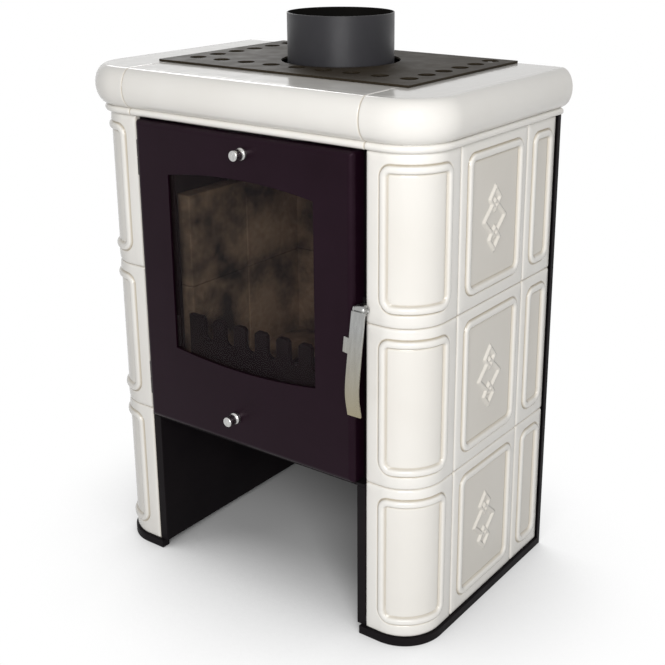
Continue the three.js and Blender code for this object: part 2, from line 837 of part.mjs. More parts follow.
// ---------------------------------------------------------------- hearth, bricks and ash pan
const liningBack = fireBackY - seat;
const grateY = (retainerY + retainerThickness + fireBackY - brickThickness) / 2;
function hearthPlate() {
  const outline = rectangle(-liningHalf, liningHalf, wallFront, liningBack);
  const lip = grateBorder / 2;
  outline.holes.push(rectangle(
    -grateHalfWidth + lip,
    grateHalfWidth - lip,
    grateY - grateDepth / 2 + lip,
    grateY + grateDepth / 2 - lip,
  ));
  return raised(outline, hearthPlateZ, hearthPlateZ + sheet);
}
add("hearth_plate", hearthPlate(), blackSteel);

function hearthFloor() {
  const outline = rectangle(-liningHalf, liningHalf, wallFront, liningBack);
  outline.holes.push(rectangle(
    -grateHalfWidth - seat,
    grateHalfWidth + seat,
    grateY - grateDepth / 2 - seat,
    grateY + grateDepth / 2 + seat,
  ));
  return raised(outline, hearthZ, hearthTop);
}
add("hearth_floor", hearthFloor(), chamotte);

function grate() {
  const y0 = grateY - grateDepth / 2;
  const y1 = grateY + grateDepth / 2;
  const top = hearthZ + grateThickness;
  const slotPitch = (2 * (grateHalfWidth - grateBorder)) / (grateSlots - 1);
  const slots = [];
  for (let i = 0; i < grateSlots; i += 1) {
    const x = -grateHalfWidth + grateBorder + i * slotPitch;
    const half = grateSlotWidth / 2;
    slots.push(block(x - half, x + half, y0 + grateBorder, y1 - grateBorder, hearthZ - seat, top + seat));
  }
  return cut(block(-grateHalfWidth, grateHalfWidth, y0, y1, hearthZ, top), ...slots);
}
add("grate", grate(), castIron);

function ashPan() {
  const z0 = shelfTop + seat;
  const y0 = wallFront;
  const tray = block(-ashPanHalfWidth, ashPanHalfWidth, y0, y0 + ashPanDepth, z0, z0 + ashPanHeight);
  const inside = block(
    -ashPanHalfWidth + sheet,
    ashPanHalfWidth - sheet,
    y0 + sheet,
    y0 + ashPanDepth - sheet,
    z0 + sheet,
    z0 + ashPanHeight + sheet,
  );
  return cut(tray, inside);
}
add("ash_pan", ashPan(), galvanised);

const brickZ = hearthTop + seat;
const brickTop = fireboxTopZ - baffleTopGap - baffleRise - baffleThickness - seat;
const sideBrickBack = liningBack - brickThickness - seat;
function sideBrick() {
  const shape = rectangle(liningHalf - brickThickness, liningHalf, brickFront, sideBrickBack);
  return raised(shape, brickZ, brickTop);
}
add("firebrick_right", sideBrick(), chamotte);
add("firebrick_left", mirrored(sideBrick()), chamotte);
add(
  "firebrick_back",
  block(-liningHalf, liningHalf, liningBack - brickThickness, liningBack, brickZ, brickTop),
  chamotte,
);

// baffle: a slab that rests on the bricks and rises towards the door
function baffle() {
  const z = brickTop + seat;
  const back = liningBack;
  const front = back - baffleReach;
  const shape = new THREE.Shape();
  shape.moveTo(back, z);
  shape.lineTo(back, z + baffleThickness);
  shape.lineTo(front, z + baffleThickness + baffleRise);
  shape.lineTo(front, z + baffleRise);
  shape.lineTo(back - brickThickness, z);
  shape.closePath();
  return wide(shape, -liningHalf, liningHalf);
}
add("baffle", baffle(), chamotte);

// crenellated log retainer behind the glass
function logRetainer() {
  const shape = new THREE.Shape();
  const low = retainerTopZ - retainerSlotDepth;
  const slotHalf = retainerSlotWidth / 2;
  shape.moveTo(-retainerHalfWidth, brickZ);
  shape.lineTo(retainerHalfWidth, brickZ);
  shape.lineTo(retainerHalfWidth, retainerTopZ);
  for (let i = retainerSlots - 1; i >= 0; i -= 1) {
    const x = (i - (retainerSlots - 1) / 2) * retainerPitch;
    shape.lineTo(x + slotHalf + retainerBevel, retainerTopZ);
    shape.lineTo(x + slotHalf, retainerTopZ - retainerBevel);
    shape.lineTo(x + slotHalf, low);
    shape.absarc(x, low, slotHalf, 0, -Math.PI, true);
    shape.lineTo(x - slotHalf, retainerTopZ - retainerBevel);
    shape.lineTo(x - slotHalf - retainerBevel, retainerTopZ);
  }
  shape.lineTo(-retainerHalfWidth, retainerTopZ);
  shape.closePath();
  return deep(shape, retainerY, retainerY + retainerThickness, 5);
}
add("log_retainer", logRetainer(), castIron);

// ---------------------------------------------------------------- door
function windowShape(grow) {
  const half = windowHalfWidth + grow;
  const top = windowTopCorner + grow;
  const bottom = windowBottomCorner - grow;
  const shape = new THREE.Shape();
  shape.moveTo(-half, bottom);
  shape.quadraticCurveTo(0, bottom - 2 * windowBottomArch, half, bottom);
  shape.lineTo(half, top);
  shape.quadraticCurveTo(0, top + 2 * windowTopArch, -half, top);
  shape.closePath();
  return shape;
}

function doorLeaf() {
  const face = new THREE.ExtrudeGeometry(rectangle(-doorHalfWidth, doorHalfWidth, doorBottom, doorTop), {
    depth: doorDepth,
    bevelEnabled: true,
    bevelThickness: doorEdgeRound,
    bevelSize: doorEdgeRound,
    bevelOffset: -doorEdgeRound,
    bevelSegments: 3,
  });
  face.rotateX(Math.PI / 2);
  face.translate(0, doorBack + doorEdgeRound, 0);
  const big = doorHalfWidth * 2;
  const behind = block(-big, big, doorBack, doorBack + 4 * doorEdgeRound, 0, doorTop + big);
  const hollow = block(
    -doorHalfWidth + doorSheet,
    doorHalfWidth - doorSheet,
    doorFront + doorSheet,
    doorBack + sheet,
    doorBottom + doorSheet,
    doorTop - doorSheet,
  );
  const opening = deep(windowShape(0), doorFront - sheet, doorBack, 8);
  const rodHoles = [[upperKnobX, upperKnobZ], [lowerKnobX, lowerKnobZ]].map(([x, z]) => {
    const shape = new THREE.Shape();
    shape.absarc(x, z, rodRadius + seat, 0, 2 * Math.PI, false);
    return deep(shape, doorFront - sheet, doorFront + doorSheet + sheet, 5);
  });
  const leaf = cut(face, behind, hollow, opening, ...rodHoles);
  const arms = hingeCentres.map((z) => {
    const lower = z + seat;
    const upper = z + hingeLength / 2;
    const arm = block(
      hingeAxisX,
      -doorHalfWidth + doorSheet / 2,
      hingeAxisY - hingeArm / 2,
      hingeAxisY + hingeArm / 2,
      lower,
      upper,
    );
    const bore = ring(hingePinRadius + seat, 0, upper - lower + 2 * sheet, 14);
    bore.translate(hingeAxisX, hingeAxisY, lower - sheet);
    const knuckle = ring(hingeRadius, 0, upper - lower, 14);
    knuckle.translate(hingeAxisX, hingeAxisY, lower);
    return cut(join(arm, knuckle), bore);
  });
  return join(leaf, ...arms);
}
add("door_leaf", doorLeaf(), doorPaint);

const glassFront = doorFront + doorSheet + seat;
const glassBack = glassFront + glassThickness;
add(
  "door_glass",
  block(
    -windowHalfWidth - glassLap,
    windowHalfWidth + glassLap,
    glassFront,
    glassBack,
    windowBottomCorner - windowBottomArch - glassLap,
    windowTopCorner + windowTopArch + glassLap,
  ),
  ceramicGlass,
);

// clips that hold the glass against the door sheet: a foot on the sheet and a finger on the glass
function glassClip() {
  const footLeft = windowHalfWidth + glassLap + seat;
  const shape = new THREE.Shape();
  shape.moveTo(footLeft, glassFront);
  shape.lineTo(footLeft + clipWidth, glassFront);
  shape.lineTo(footLeft + clipWidth, glassFront + sheet);
  shape.lineTo(footLeft + sheet, glassFront + sheet);
  shape.lineTo(footLeft + sheet, glassBack + seat + sheet);
  shape.lineTo(footLeft - clipWidth, glassBack + seat + sheet);
  shape.lineTo(footLeft - clipWidth, glassBack + seat);
  shape.lineTo(footLeft, glassBack + seat);
  shape.closePath();
  return raised(shape, clipZ - clipLength / 2, clipZ + clipLength / 2);
}
add("glass_clip_right", glassClip(), galvanised);
add("glass_clip_left", mirrored(glassClip()), galvanised);

// rope gasket that lies in the door's rim and meets the firebox front
function gasket() {
  const inset = doorSheet + seat;
  const outer = rectangle(-doorHalfWidth + inset, doorHalfWidth - inset, doorBottom + inset, doorTop - inset);
  outer.holes.push(rectangle(
    -doorHalfWidth + gasketInnerInset,
    doorHalfWidth - gasketInnerInset,
    doorBottom + gasketInnerInset,
    doorTop - gasketInnerInset,
  ));
  return deep(outer, fireFrontY - seat - 2 * gasketRadius, fireFrontY - seat);
}
add("door_gasket", gasket(), rope);

// ---------------------------------------------------------------- hinges
function fixedHinge(z) {
  const lower = z - hingeLength / 2;
  const upper = z - seat;
  const knuckle = ring(hingeRadius, 0, upper - lower, 14);
  knuckle.translate(hingeAxisX, hingeAxisY, lower);
  const pin = ring(hingePinRadius, 0, hingeLength - seat, 14);
  pin.translate(hingeAxisX, hingeAxisY, lower);
  const strapX = hingeAxisX - hingeRadius;
  const strap = block(strapX, strapX + hingeStrap, hingeAxisY, fireFrontY - seat, lower, upper);
  return join(knuckle, pin, strap);
}
add("hinge_lower", fixedHinge(hingeCentres[0]), blackSteel);
add("hinge_upper", fixedHinge(hingeCentres[1]), blackSteel);

// ---------------------------------------------------------------- lever handle
function alongX(geometry, x0) {
  geometry.rotateY(Math.PI / 2);
  geometry.translate(x0, leverPivotY, leverPivotZ);
  return geometry;
}
add(
  "handle_pin",
  alongX(ring(leverPinRadius, 0, leverBossRight - doorHalfWidth - seat, 16), doorHalfWidth + seat),
  brushedSteel,
);
const bossBore = leverPinRadius + leverPinClearance;
add(
  "handle_boss",
  alongX(ring(leverBossRadius, bossBore, leverBossRight - leverBossLeft, 20), leverBossLeft),
  brushedSteel,
);

// the grip: a flat strip that bows away from the door, with a thumb tab on its left edge
const leverTopZ = leverPivotZ + leverTopRise;
function leverLine(offset) {
  const top = new THREE.Vector2(leverPivotY - leverBossRadius - seat - offset, leverTopZ);
  const bow = new THREE.Vector2(-leverBowReach + leverThickness - offset, (leverTopZ + leverBottomZ * 3) / 4);
  const bottom = new THREE.Vector2(-leverBottomReach - offset, leverBottomZ);
  return new THREE.CatmullRomCurve3([
    new THREE.Vector3(top.x, top.y, 0),
    new THREE.Vector3((top.x * 2 + bow.x * 3) / 5, (leverTopZ * 3 + leverBottomZ * 2) / 5, 0),
    new THREE.Vector3(bow.x, bow.y, 0),
    new THREE.Vector3(bottom.x, bottom.y, 0),
  ]).getPoints(9).map((point) => new THREE.Vector2(point.x, point.y));
}

function handleGrip() {
  const front = leverLine(leverThickness);
  const back = leverLine(0).reverse();
  const strip = wide(new THREE.Shape([...front, ...back]), leverLeft, leverLeft + leverWidth);
  const tabReach = leverLine(0).reduce((best, point) => (
    Math.abs(point.y - leverTabZ) < Math.abs(best.y - leverTabZ) ? point : best
  ));
  const tab = block(
    leverLeft - leverTabWidth,
    leverLeft + leverThickness,
    tabReach.x - leverThickness,
    tabReach.x,
    leverTabZ - leverTabHeight / 2,
    leverTabZ + leverTabHeight / 2,
  );
  return join(strip, tab);
}
add("handle_grip", handleGrip(), brushedSteel);

// nose that reaches back from the boss to the keeper welded on the firebox front
function latchNose() {
  const start = leverPivotY + leverBossRadius + seat;
  const swing = fireFrontY - keeperReach - keeperGap - leverPivotY;
  const end = leverPivotY + Math.sqrt(swing * swing - (noseHeight * noseHeight) / 4);
  return block(
    leverBossLeft,
    leverBossLeft + noseThickness,
    start,
    end,
    leverPivotZ - noseHeight / 2,
    leverPivotZ + noseHeight / 2,
  );
}
add("latch_nose", latchNose(), brushedSteel);

// ---------------------------------------------------------------- air knobs and their dampers
function knobGeometry() {
  const waist = knobReach - knobCapLength - knobBaseLength;
  const profile = [
    [0, 0],
    [knobBaseRadius, 0],
    [knobBaseRadius, knobBaseLength - knobEdge],
    [knobBaseRadius - knobEdge, knobBaseLength],
    [knobWaistRadius, knobBaseLength],
    [knobWaistRadius, knobBaseLength + waist],
    [knobCapRadius - knobEdge, knobBaseLength + waist],
    [knobCapRadius, knobBaseLength + waist + knobEdge],
    [knobCapRadius, knobReach - knobEdge],
    [knobCapRadius - knobEdge, knobReach],
    [0, knobReach],
  ].map(([r, h]) => new THREE.Vector2(r, h));
  const knob = new THREE.LatheGeometry(profile, 20);
  knob.rotateX(Math.PI);
  return knob;
}

function damperGeometry() {
  const rodLength = fireFrontY - seat * 3 - doorFront;
  const profile = [
    [0, 0],
    [rodRadius, 0],
    [rodRadius, rodLength - damperThickness],
    [damperRadius, rodLength - damperThickness],
    [damperRadius, rodLength],
    [0, rodLength],
  ].map(([r, h]) => new THREE.Vector2(r, h));
  const damper = new THREE.LatheGeometry(profile, 16);
  damper.translate(0, doorFront, 0);
  return damper;
}

const knobs = { upper: [upperKnobX, upperKnobZ], lower: [lowerKnobX, lowerKnobZ] };
Object.entries(knobs).forEach(([name, [x, z]]) => {
  const knob = add(`air_knob_${name}`, knobGeometry(), brushedSteel);
  knob.position.set(x, doorFront - seat, z);
  const damper = add(`air_damper_${name}`, damperGeometry(), blackSteel);
  damper.position.set(x, 0, z);
});

export default stove;
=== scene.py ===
"""Looks of the tiled stove: glazed tiles, crown, painted steel, glass and fittings, in metres."""
import math

import bmesh
import bpy
import numpy as np
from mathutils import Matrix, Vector


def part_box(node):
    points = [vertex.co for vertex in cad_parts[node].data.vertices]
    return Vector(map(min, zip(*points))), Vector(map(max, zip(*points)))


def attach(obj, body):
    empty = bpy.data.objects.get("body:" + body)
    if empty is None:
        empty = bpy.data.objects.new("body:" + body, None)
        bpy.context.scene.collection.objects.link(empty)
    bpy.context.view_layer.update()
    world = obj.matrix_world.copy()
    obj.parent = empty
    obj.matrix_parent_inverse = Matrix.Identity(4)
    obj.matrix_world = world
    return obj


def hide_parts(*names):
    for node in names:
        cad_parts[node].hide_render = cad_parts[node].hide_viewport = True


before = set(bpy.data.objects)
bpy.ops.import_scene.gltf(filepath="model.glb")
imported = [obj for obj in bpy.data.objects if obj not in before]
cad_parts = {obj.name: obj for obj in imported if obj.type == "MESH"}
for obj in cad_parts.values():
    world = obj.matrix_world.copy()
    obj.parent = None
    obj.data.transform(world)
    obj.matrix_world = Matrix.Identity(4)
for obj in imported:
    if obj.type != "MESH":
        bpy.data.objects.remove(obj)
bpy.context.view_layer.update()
MM = 0.001
SEAT = 0.3 * MM  # gap that touching pieces keep
SIDES = {"right": 1, "left": -1}  # sign of x on either side

# ---- places taken from the frame
RELIEF = 2 * MM  # how far the raised frames stand proud of the tiles
TILE_DEPTH = 10 * MM
CORNER_RADIUS = 58 * MM
FACE_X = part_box("tile_right_top_side")[1].x - RELIEF
FACE_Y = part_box("tile_right_top_corner")[0].y + RELIEF
OPENING_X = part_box("tile_right_top_corner")[0].x
CROWN_LOW, CROWN_HIGH = (corner.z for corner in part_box("crown_front"))
DOOR_LOW, DOOR_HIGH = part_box("door_leaf")


# ---- node helpers
def supply(mat, socket, value):
    """Wires the socket to another node's output, or sets it."""
    if isinstance(value, bpy.types.NodeSocket):
        mat.node_tree.links.new(value, socket)
    else:
        socket.default_value = value


def feed(mat, made, **values):
    """Supplies a node's inputs; underscores in their names stand for spaces."""
    for key, value in values.items():
        supply(mat, made.inputs[key.replace("_", " ")], value)


def node(mat, kind, **values):
    made = mat.node_tree.nodes.new(kind)
    feed(mat, made, **values)
    return made


def place_of(mat, stretch=(1, 1, 1)):
    place = node(mat, "ShaderNodeTexCoord").outputs["Object"]
    return node(mat, "ShaderNodeMapping", Scale=stretch, Vector=place).outputs["Vector"]


def noise(mat, scale, detail=3.0, roughness=0.5, stretch=(1, 1, 1)):
    made = node(mat, "ShaderNodeTexNoise", Scale=scale, Detail=detail, Roughness=roughness)
    feed(mat, made, Vector=place_of(mat, stretch))
    return made.outputs["Fac"]


def spread(mat, value, low, high, new_low=0.0, new_high=1.0):
    made = node(mat, "ShaderNodeMapRange", Value=value, From_Min=low, From_Max=high)
    feed(mat, made, To_Min=new_low, To_Max=new_high)
    return made.outputs["Result"]


def blend_colors(mat, fac, first, second):
    made = node(mat, "ShaderNodeMix", Factor=fac)
    made.data_type = "RGBA"
    for name, color in (("A", first), ("B", second)):
        socket = next(s for s in made.inputs if s.name == name and s.type == "RGBA")
        supply(mat, socket, (*color, 1) if isinstance(color, tuple) else color)
    return next(s for s in made.outputs if s.type == "RGBA")


def bump(mat, height, distance, strength=1.0, after=None):
    made = node(mat, "ShaderNodeBump", Strength=strength, Distance=distance, Height=height)
    if after is not None:
        feed(mat, made, Normal=after)
    return made.outputs["Normal"]


def finish_of(name, roughness, metallic=0.0, **values):
    mat = bpy.data.materials.new(name)
    mat.use_nodes = True
    shader = mat.node_tree.nodes["Principled BSDF"]
    feed(mat, shader, Roughness=roughness, Metallic=metallic, **values)
    return mat, shader


def dress(mat, shader, share, first, second, **values):
    """Gives the shader a colour between the first and the second, and its other inputs."""
    feed(mat, shader, Base_Color=blend_colors(mat, share, first, second), **values)
    return mat


NOISE_RANGE = (0.3, 0.7)  # where most of a noise texture's values lie


def mottle(mat, scale, detail=3.0, roughness=0.5, low=0.0, high=1.0):
    """Noise spread over the range from low to high."""
    return spread(mat, noise(mat, scale, detail, roughness), *NOISE_RANGE, low, high)


def calculate(mat, operation, first, second):
    """Result of a math node; each input is a number or another node's output."""
    made = node(mat, "ShaderNodeMath")
    made.operation = operation
    supply(mat, made.inputs[0], first)
    supply(mat, made.inputs[1], second)
    return made.outputs[0]


# ---- materials
def make_glaze():
    """White glaze, darker and warmer where the attribute says: pooled glaze and painted shade in the tiles'
    grooves, painted shade in their fields, and darkening at edges and joints.
    """
    mat, shader = finish_of("glaze_white", roughness=0.1, IOR=1.5, Specular_IOR_Level=0.4)
    pool_and_shade = node(mat, "ShaderNodeAttribute")
    pool_and_shade.attribute_name = "pool_and_shade"
    body = blend_colors(mat, mottle(mat, 7, 4), (0.795, 0.77, 0.725), (0.835, 0.815, 0.775))
    share = spread(mat, pool_and_shade.outputs["Fac"], 0, 1, 0, 0.9)
    wavy = bump(mat, noise(mat, 22, 2), 0.6 * MM, 0.35)
    return dress(
        # the dark warm colour of pooled glaze and of painted shade
        mat, shader, share, body, (0.42, 0.355, 0.25),
        Roughness=mottle(mat, 60, low=0.09, high=0.18),
        Normal=bump(mat, noise(mat, 420, 2), 0.05 * MM, 0.25, wavy),
    )


def make_paint(name, dark, light, roughness, gloss, peel=900, shine=(1, 1, 1)):
    """Paint; peel is the scale of its orange peel, and shine tints what it reflects."""
    mat, shader = finish_of(name, roughness=roughness, Specular_IOR_Level=gloss, Specular_Tint=(*shine, 1))
    return dress(
        mat, shader, mottle(mat, 9, 5, 0.6), dark, light,
        Roughness=mottle(mat, 35, 4, low=roughness - 0.05, high=roughness + 0.07),
        Normal=bump(mat, noise(mat, peel, 2), 0.08 * MM, 0.35),
    )


# heights over which the handle turns to a painted reflection towards its foot
HANDLE_PAINTED_REFLECTION_HEIGHTS = (330 * MM, 450 * MM)


def make_brushed(name, light, dark, roughness, stretch, painted_foot_reflection=None):
    """Brushed metal; its last argument is a painted reflection of the surroundings, the colour towards which
    it turns at the foot of the handle.
    """
    mat, shader = finish_of(name, roughness=roughness, metallic=1.0)
    lines = noise(mat, 260, 3, 0.6, stretch)
    tone = blend_colors(mat, spread(mat, lines, *NOISE_RANGE), dark, light)
    if painted_foot_reflection is not None:
        height = node(mat, "ShaderNodeSeparateXYZ", Vector=place_of(mat)).outputs["Z"]
        fall = spread(mat, height, *HANDLE_PAINTED_REFLECTION_HEIGHTS, 1, 0)
        tone = blend_colors(mat, fall, tone, painted_foot_reflection)
    feed(
        mat, shader,
        Base_Color=tone,
        Roughness=spread(mat, lines, *NOISE_RANGE, roughness + 0.08, roughness - 0.06),
        Normal=bump(mat, lines, 0.03 * MM, 0.35),
    )
    return mat


def make_cast_iron():
    mat, shader = finish_of("cast_iron_rough", roughness=0.6, Specular_IOR_Level=0.15)
    fac = spread(mat, noise(mat, 40, 6, 0.65), 0.3, 0.75)
    return dress(
        mat, shader, fac, (0.010, 0.006, 0.008), (0.019, 0.012, 0.014),
        Roughness=mottle(mat, 160, low=0.55, high=0.75),
        Normal=bump(mat, noise(mat, 90, 2), 0.2 * MM, 0.3),
    )


def make_chamotte():
    mat, shader = finish_of("chamotte_sooty", roughness=0.95)
    clay = blend_colors(mat, mottle(mat, 110, 6, 0.7), (0.38, 0.245, 0.15), (0.54, 0.385, 0.25))
    soot = spread(mat, noise(mat, 8, 5, 0.6), 0.42, 0.62)
    coarse = bump(mat, noise(mat, 70, 5), 1.2 * MM, 0.5)
    return dress(
        mat, shader, soot, clay, (0.03, 0.024, 0.02),
        Normal=bump(mat, noise(mat, 500, 3), 0.3 * MM, 0.5, coarse),
    )


def make_glass():
    mat, shader = finish_of("ceramic_glass_smoked", roughness=0.03, Specular_IOR_Level=0.12)
    haze = spread(mat, noise(mat, 14, 5, 0.6), 0.35, 0.75)
    return dress(
        mat, shader, haze, (0.008, 0.004, 0.0055), (0.016, 0.010, 0.010),
        Roughness=spread(mat, haze, 0, 1, 0.02, 0.08),
        Alpha=spread(mat, haze, 0, 1, 0.27, 0.38),
    )


def make_rope():
    mat, shader = finish_of("glass_fibre_rope", roughness=0.95)
    across = node(mat, "ShaderNodeTexWave", Scale=160, Distortion=1.5, Vector=place_of(mat))
    across.wave_type = "BANDS"
    across.bands_direction = "DIAGONAL"
    braid = across.outputs["Fac"]
    return dress(
        mat, shader, braid, (0.035, 0.033, 0.032), (0.12, 0.115, 0.11),
        Normal=bump(mat, braid, 0.8 * MM, 0.7),
    )


def make_zinc():
    mat, shader = finish_of("zinc_sheet", roughness=0.42, metallic=1.0)
    spangle = node(mat, "ShaderNodeTexVoronoi", Scale=130, Vector=place_of(mat))
    fac = spread(mat, spangle.outputs["Distance"], 0, 0.8)
    return dress(
        mat, shader, fac, (0.17, 0.172, 0.175), (0.23, 0.23, 0.23),
        Roughness=mottle(mat, 50, low=0.34, high=0.5),
    )


GLAZE = make_glaze()
DOOR_PAINT = make_paint(
    "door_satin_black", (0.0055, 0.0010, 0.0035), (0.0085, 0.0025, 0.0062), 0.36, 0.12,
    shine=(1, 0.72, 0.88),
)
BLACK = make_paint("black_heat_paint", (0.0045, 0.0035, 0.0045), (0.008, 0.0062, 0.007), 0.55, 0.08)
PLATE = make_paint("plate_brown_black", (0.018, 0.013, 0.008), (0.029, 0.022, 0.013), 0.58, 0.1, 600)
COLLAR = make_paint("collar_dark_grey", (0.022, 0.0215, 0.0245), (0.031, 0.030, 0.034), 0.42, 0.28, 700)
SOOT = make_paint("collar_sooted", (0.003, 0.003, 0.003), (0.008, 0.007, 0.006), 0.85, 0.05, 300)
STEEL = make_brushed(
    # the last colour is a painted olive reflection at the handle's foot
    "handle_brushed", (0.385, 0.39, 0.38), (0.31, 0.31, 0.305), 0.24, (1, 1, 0.04), (0.33, 0.29, 0.195)
)
KNOB = make_brushed("knob_turned", (0.62, 0.61, 0.60), (0.42, 0.415, 0.41), 0.22, (1, 0.06, 1))
IRON = make_cast_iron()
CHAMOTTE = make_chamotte()
GLASS = make_glass()
ROPE = make_rope()
ZINC = make_zinc()


# ---- mesh helpers
def shape_up(mesh, angle):
    mesh.polygons.foreach_set("use_smooth", [True] * len(mesh.polygons))
    mesh.set_sharp_from_angle(angle=math.radians(angle))
    mesh.update()


def add_object(name, data):
    made = bpy.data.objects.new(name, data)
    bpy.context.scene.collection.objects.link(made)
    return made


def mesh_of(made):
    """The mesh that an object's curve or modifiers come to."""
    graph = bpy.context.evaluated_depsgraph_get()
    return bpy.data.meshes.new_from_object(made.evaluated_get(graph))


def freeze(piece):
    frozen = mesh_of(piece)
    piece.modifiers.clear()
    piece.data = frozen


def settle(piece, look, body, nodes=(), angle=35):
    """Freezes the modifiers, gives the piece its finish, body and the nodes it stands for."""
    softened = len(piece.modifiers) > 0
    freeze(piece)
    shape_up(piece.data, angle)
    if softened:
        piece.modifiers.new("normals", "WEIGHTED_NORMAL").keep_sharp = True
        freeze(piece)
    piece.data.name = piece.name
    piece.data.materials.clear()
    piece.data.materials.append(look)
    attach(piece, body)
    if nodes:
        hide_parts(*nodes)


def piece_from(name, points, faces):
    mesh = bpy.data.meshes.new(name)
    mesh.from_pydata([tuple(p) for p in points], [], faces)
    mesh.validate()
    return add_object(name, mesh)


def piece_from_bmesh(name, work, merge=1e-6):
    bmesh.ops.remove_doubles(work, verts=work.verts, dist=merge)
    bmesh.ops.recalc_face_normals(work, faces=work.faces)
    mesh = bpy.data.meshes.new(name)
    work.to_mesh(mesh)
    work.free()
    return add_object(name, mesh)


def add_loop(drawing, points):
    """A closed spline through the points."""
    spline = drawing.splines.new("POLY")
    spline.points.add(len(points) - 1)
    for point, place in zip(spline.points, points):
        point.co = (*place, 1)
    spline.use_cyclic_u = True


def mesh_of_curve(name, drawing):
    holder = add_object(name, drawing)
    mesh = mesh_of(holder)
    bpy.data.objects.remove(holder)
    return mesh


def face_front(piece):
    """Flips the normals where most of the area looks to the back."""
    if sum(face.normal.y * face.area for face in piece.data.polygons) > 0:
        piece.data.flip_normals()


def soften(piece, width, segments=2, angle=40):
    edge = piece.modifiers.new("edges", "BEVEL")
    edge.width = width
    edge.segments = segments
    edge.limit_method = "ANGLE"
    edge.angle_limit = math.radians(angle)
    return piece


def add_block(work, low, high):
    low, high = Vector(low), Vector(high)
    for vert in bmesh.ops.create_cube(work, size=1)["verts"]:
        vert.co = [low[i] + (vert.co[i] + 0.5) * (high[i] - low[i]) for i in range(3)]


def pairs(loop):
    """Each item with the one after it, and the last with the first."""
    return zip(loop, [*loop[1:], loop[0]])


def join_rings(work, rings):
    """Faces between each closed ring of vertices and the next."""
    for near, far in zip(rings, rings[1:]):
        for (a, b), (c, d) in zip(pairs(near), pairs(far)):
            work.faces.new((a, b, d, c))


def prism(name, outline, place, depth):
    """A prism over a closed outline; place maps (a, b, depth) to a point."""
    work = bmesh.new()
    near = [work.verts.new(place(a, b, 0)) for a, b in outline]
    far = [work.verts.new(place(a, b, depth)) for a, b in outline]
    work.faces.new(near)
    work.faces.new(list(reversed(far)))
    for (a, b), (c, d) in zip(pairs(near), pairs(far)):
        work.faces.new((b, a, c, d))
    return piece_from_bmesh(name, work)


def lathe(name, profile, place, steps):
    """Turns a profile of (radius, height) pairs; place maps (u, v, height) to a point."""
    work = bmesh.new()
    spokes = []
    for i in range(steps):
        angle = 2 * math.pi * i / steps
        spokes.append(
            [work.verts.new(place(r * math.cos(angle), r * math.sin(angle), h)) for r, h in profile]
        )
    for near, far in pairs(spokes):
        for k in range(len(profile) - 1):
            work.faces.new((near[k], far[k], far[k + 1], near[k + 1]))
    bmesh.ops.remove_doubles(work, verts=work.verts, dist=1e-7)
    bmesh.ops.dissolve_degenerate(work, edges=work.edges, dist=1e-8)
    return piece_from_bmesh(name, work, 1e-7)


def outer_wall(radius, length, edge):
    """Profile of a round wall from its lower to its upper end, with both edges broken."""
    return [(radius - edge, 0), (radius, edge), (radius, length - edge), (radius - edge, length)]


def arc(cx, cy, radius, start, end, steps):
    turns = [math.radians(start + (end - start) * i / steps) for i in range(steps + 1)]
    return [(cx + radius * math.cos(t), cy + radius * math.sin(t)) for t in turns]


def rounded_rectangle(x0, x1, y0, y1, radius, steps=6):
    return (
        arc(x1 - radius, y0 + radius, radius, -90, 0, steps)
        + arc(x1 - radius, y1 - radius, radius, 0, 90, steps)
        + arc(x0 + radius, y1 - radius, radius, 90, 180, steps)
        + arc(x0 + radius, y0 + radius, radius, 180, 270, steps)
    )


def punched(name, outline, holes, thickness, edge, place):
    """A sheet with holes and softened edges; place maps (a, b, depth) to a point."""
    drawing = bpy.data.curves.new(name, "CURVE")
    drawing.dimensions = "2D"
    drawing.fill_mode = "BOTH"
    drawing.extrude = thickness / 2
    for loop in [outline, *holes]:
        add_loop(drawing, [(a, b, 0) for a, b in loop])
    work = bmesh.new()
    work.from_mesh(mesh_of_curve(name, drawing))
    for vert in work.verts:
        vert.co = Vector(place(vert.co.x, vert.co.y, vert.co.z + thickness / 2))
    return soften(piece_from_bmesh(name, work), edge)


# ---- tiles
FRONT_STRAIGHT = FACE_X - OPENING_X - CORNER_RADIUS
ARC_LENGTH = CORNER_RADIUS * math.pi / 2
JOINT_CLOSE = 0.2 * MM  # how much further than the solid a tile reaches into its joint


def face_points(s, lift):
    """Plan of the right casing's face: straight front, quarter round, straight side."""
    turn = np.clip((s - FRONT_STRAIGHT) / CORNER_RADIUS, 0, math.pi / 2)
    reach = CORNER_RADIUS + lift
    x = FACE_X - CORNER_RADIUS + reach * np.sin(turn)
    y = FACE_Y + CORNER_RADIUS - reach * np.cos(turn)
    x += np.minimum(s - FRONT_STRAIGHT, 0)
    y += np.maximum(s - FRONT_STRAIGHT - ARC_LENGTH, 0)
    return x, y


def round_box(u, v, half_u, half_v, corner):
    """Signed distance to a rounded rectangle round the origin, negative inside."""
    du = np.abs(u) - half_u + corner
    dv = np.abs(v) - half_v + corner
    outside = np.hypot(np.maximum(du, 0), np.maximum(dv, 0))
    return outside + np.minimum(np.maximum(du, dv), 0) - corner


EDGE_CORNER = 4 * MM  # rounding of a tile's outline
EDGE_ROUND = 3.6 * MM  # width and depth of its rounded edge
EDGE_DROP = 2.2 * MM
EDGE_EASE = 14 * MM  # width and depth of the gentle fall towards it
EDGE_SINK = 1.3 * MM
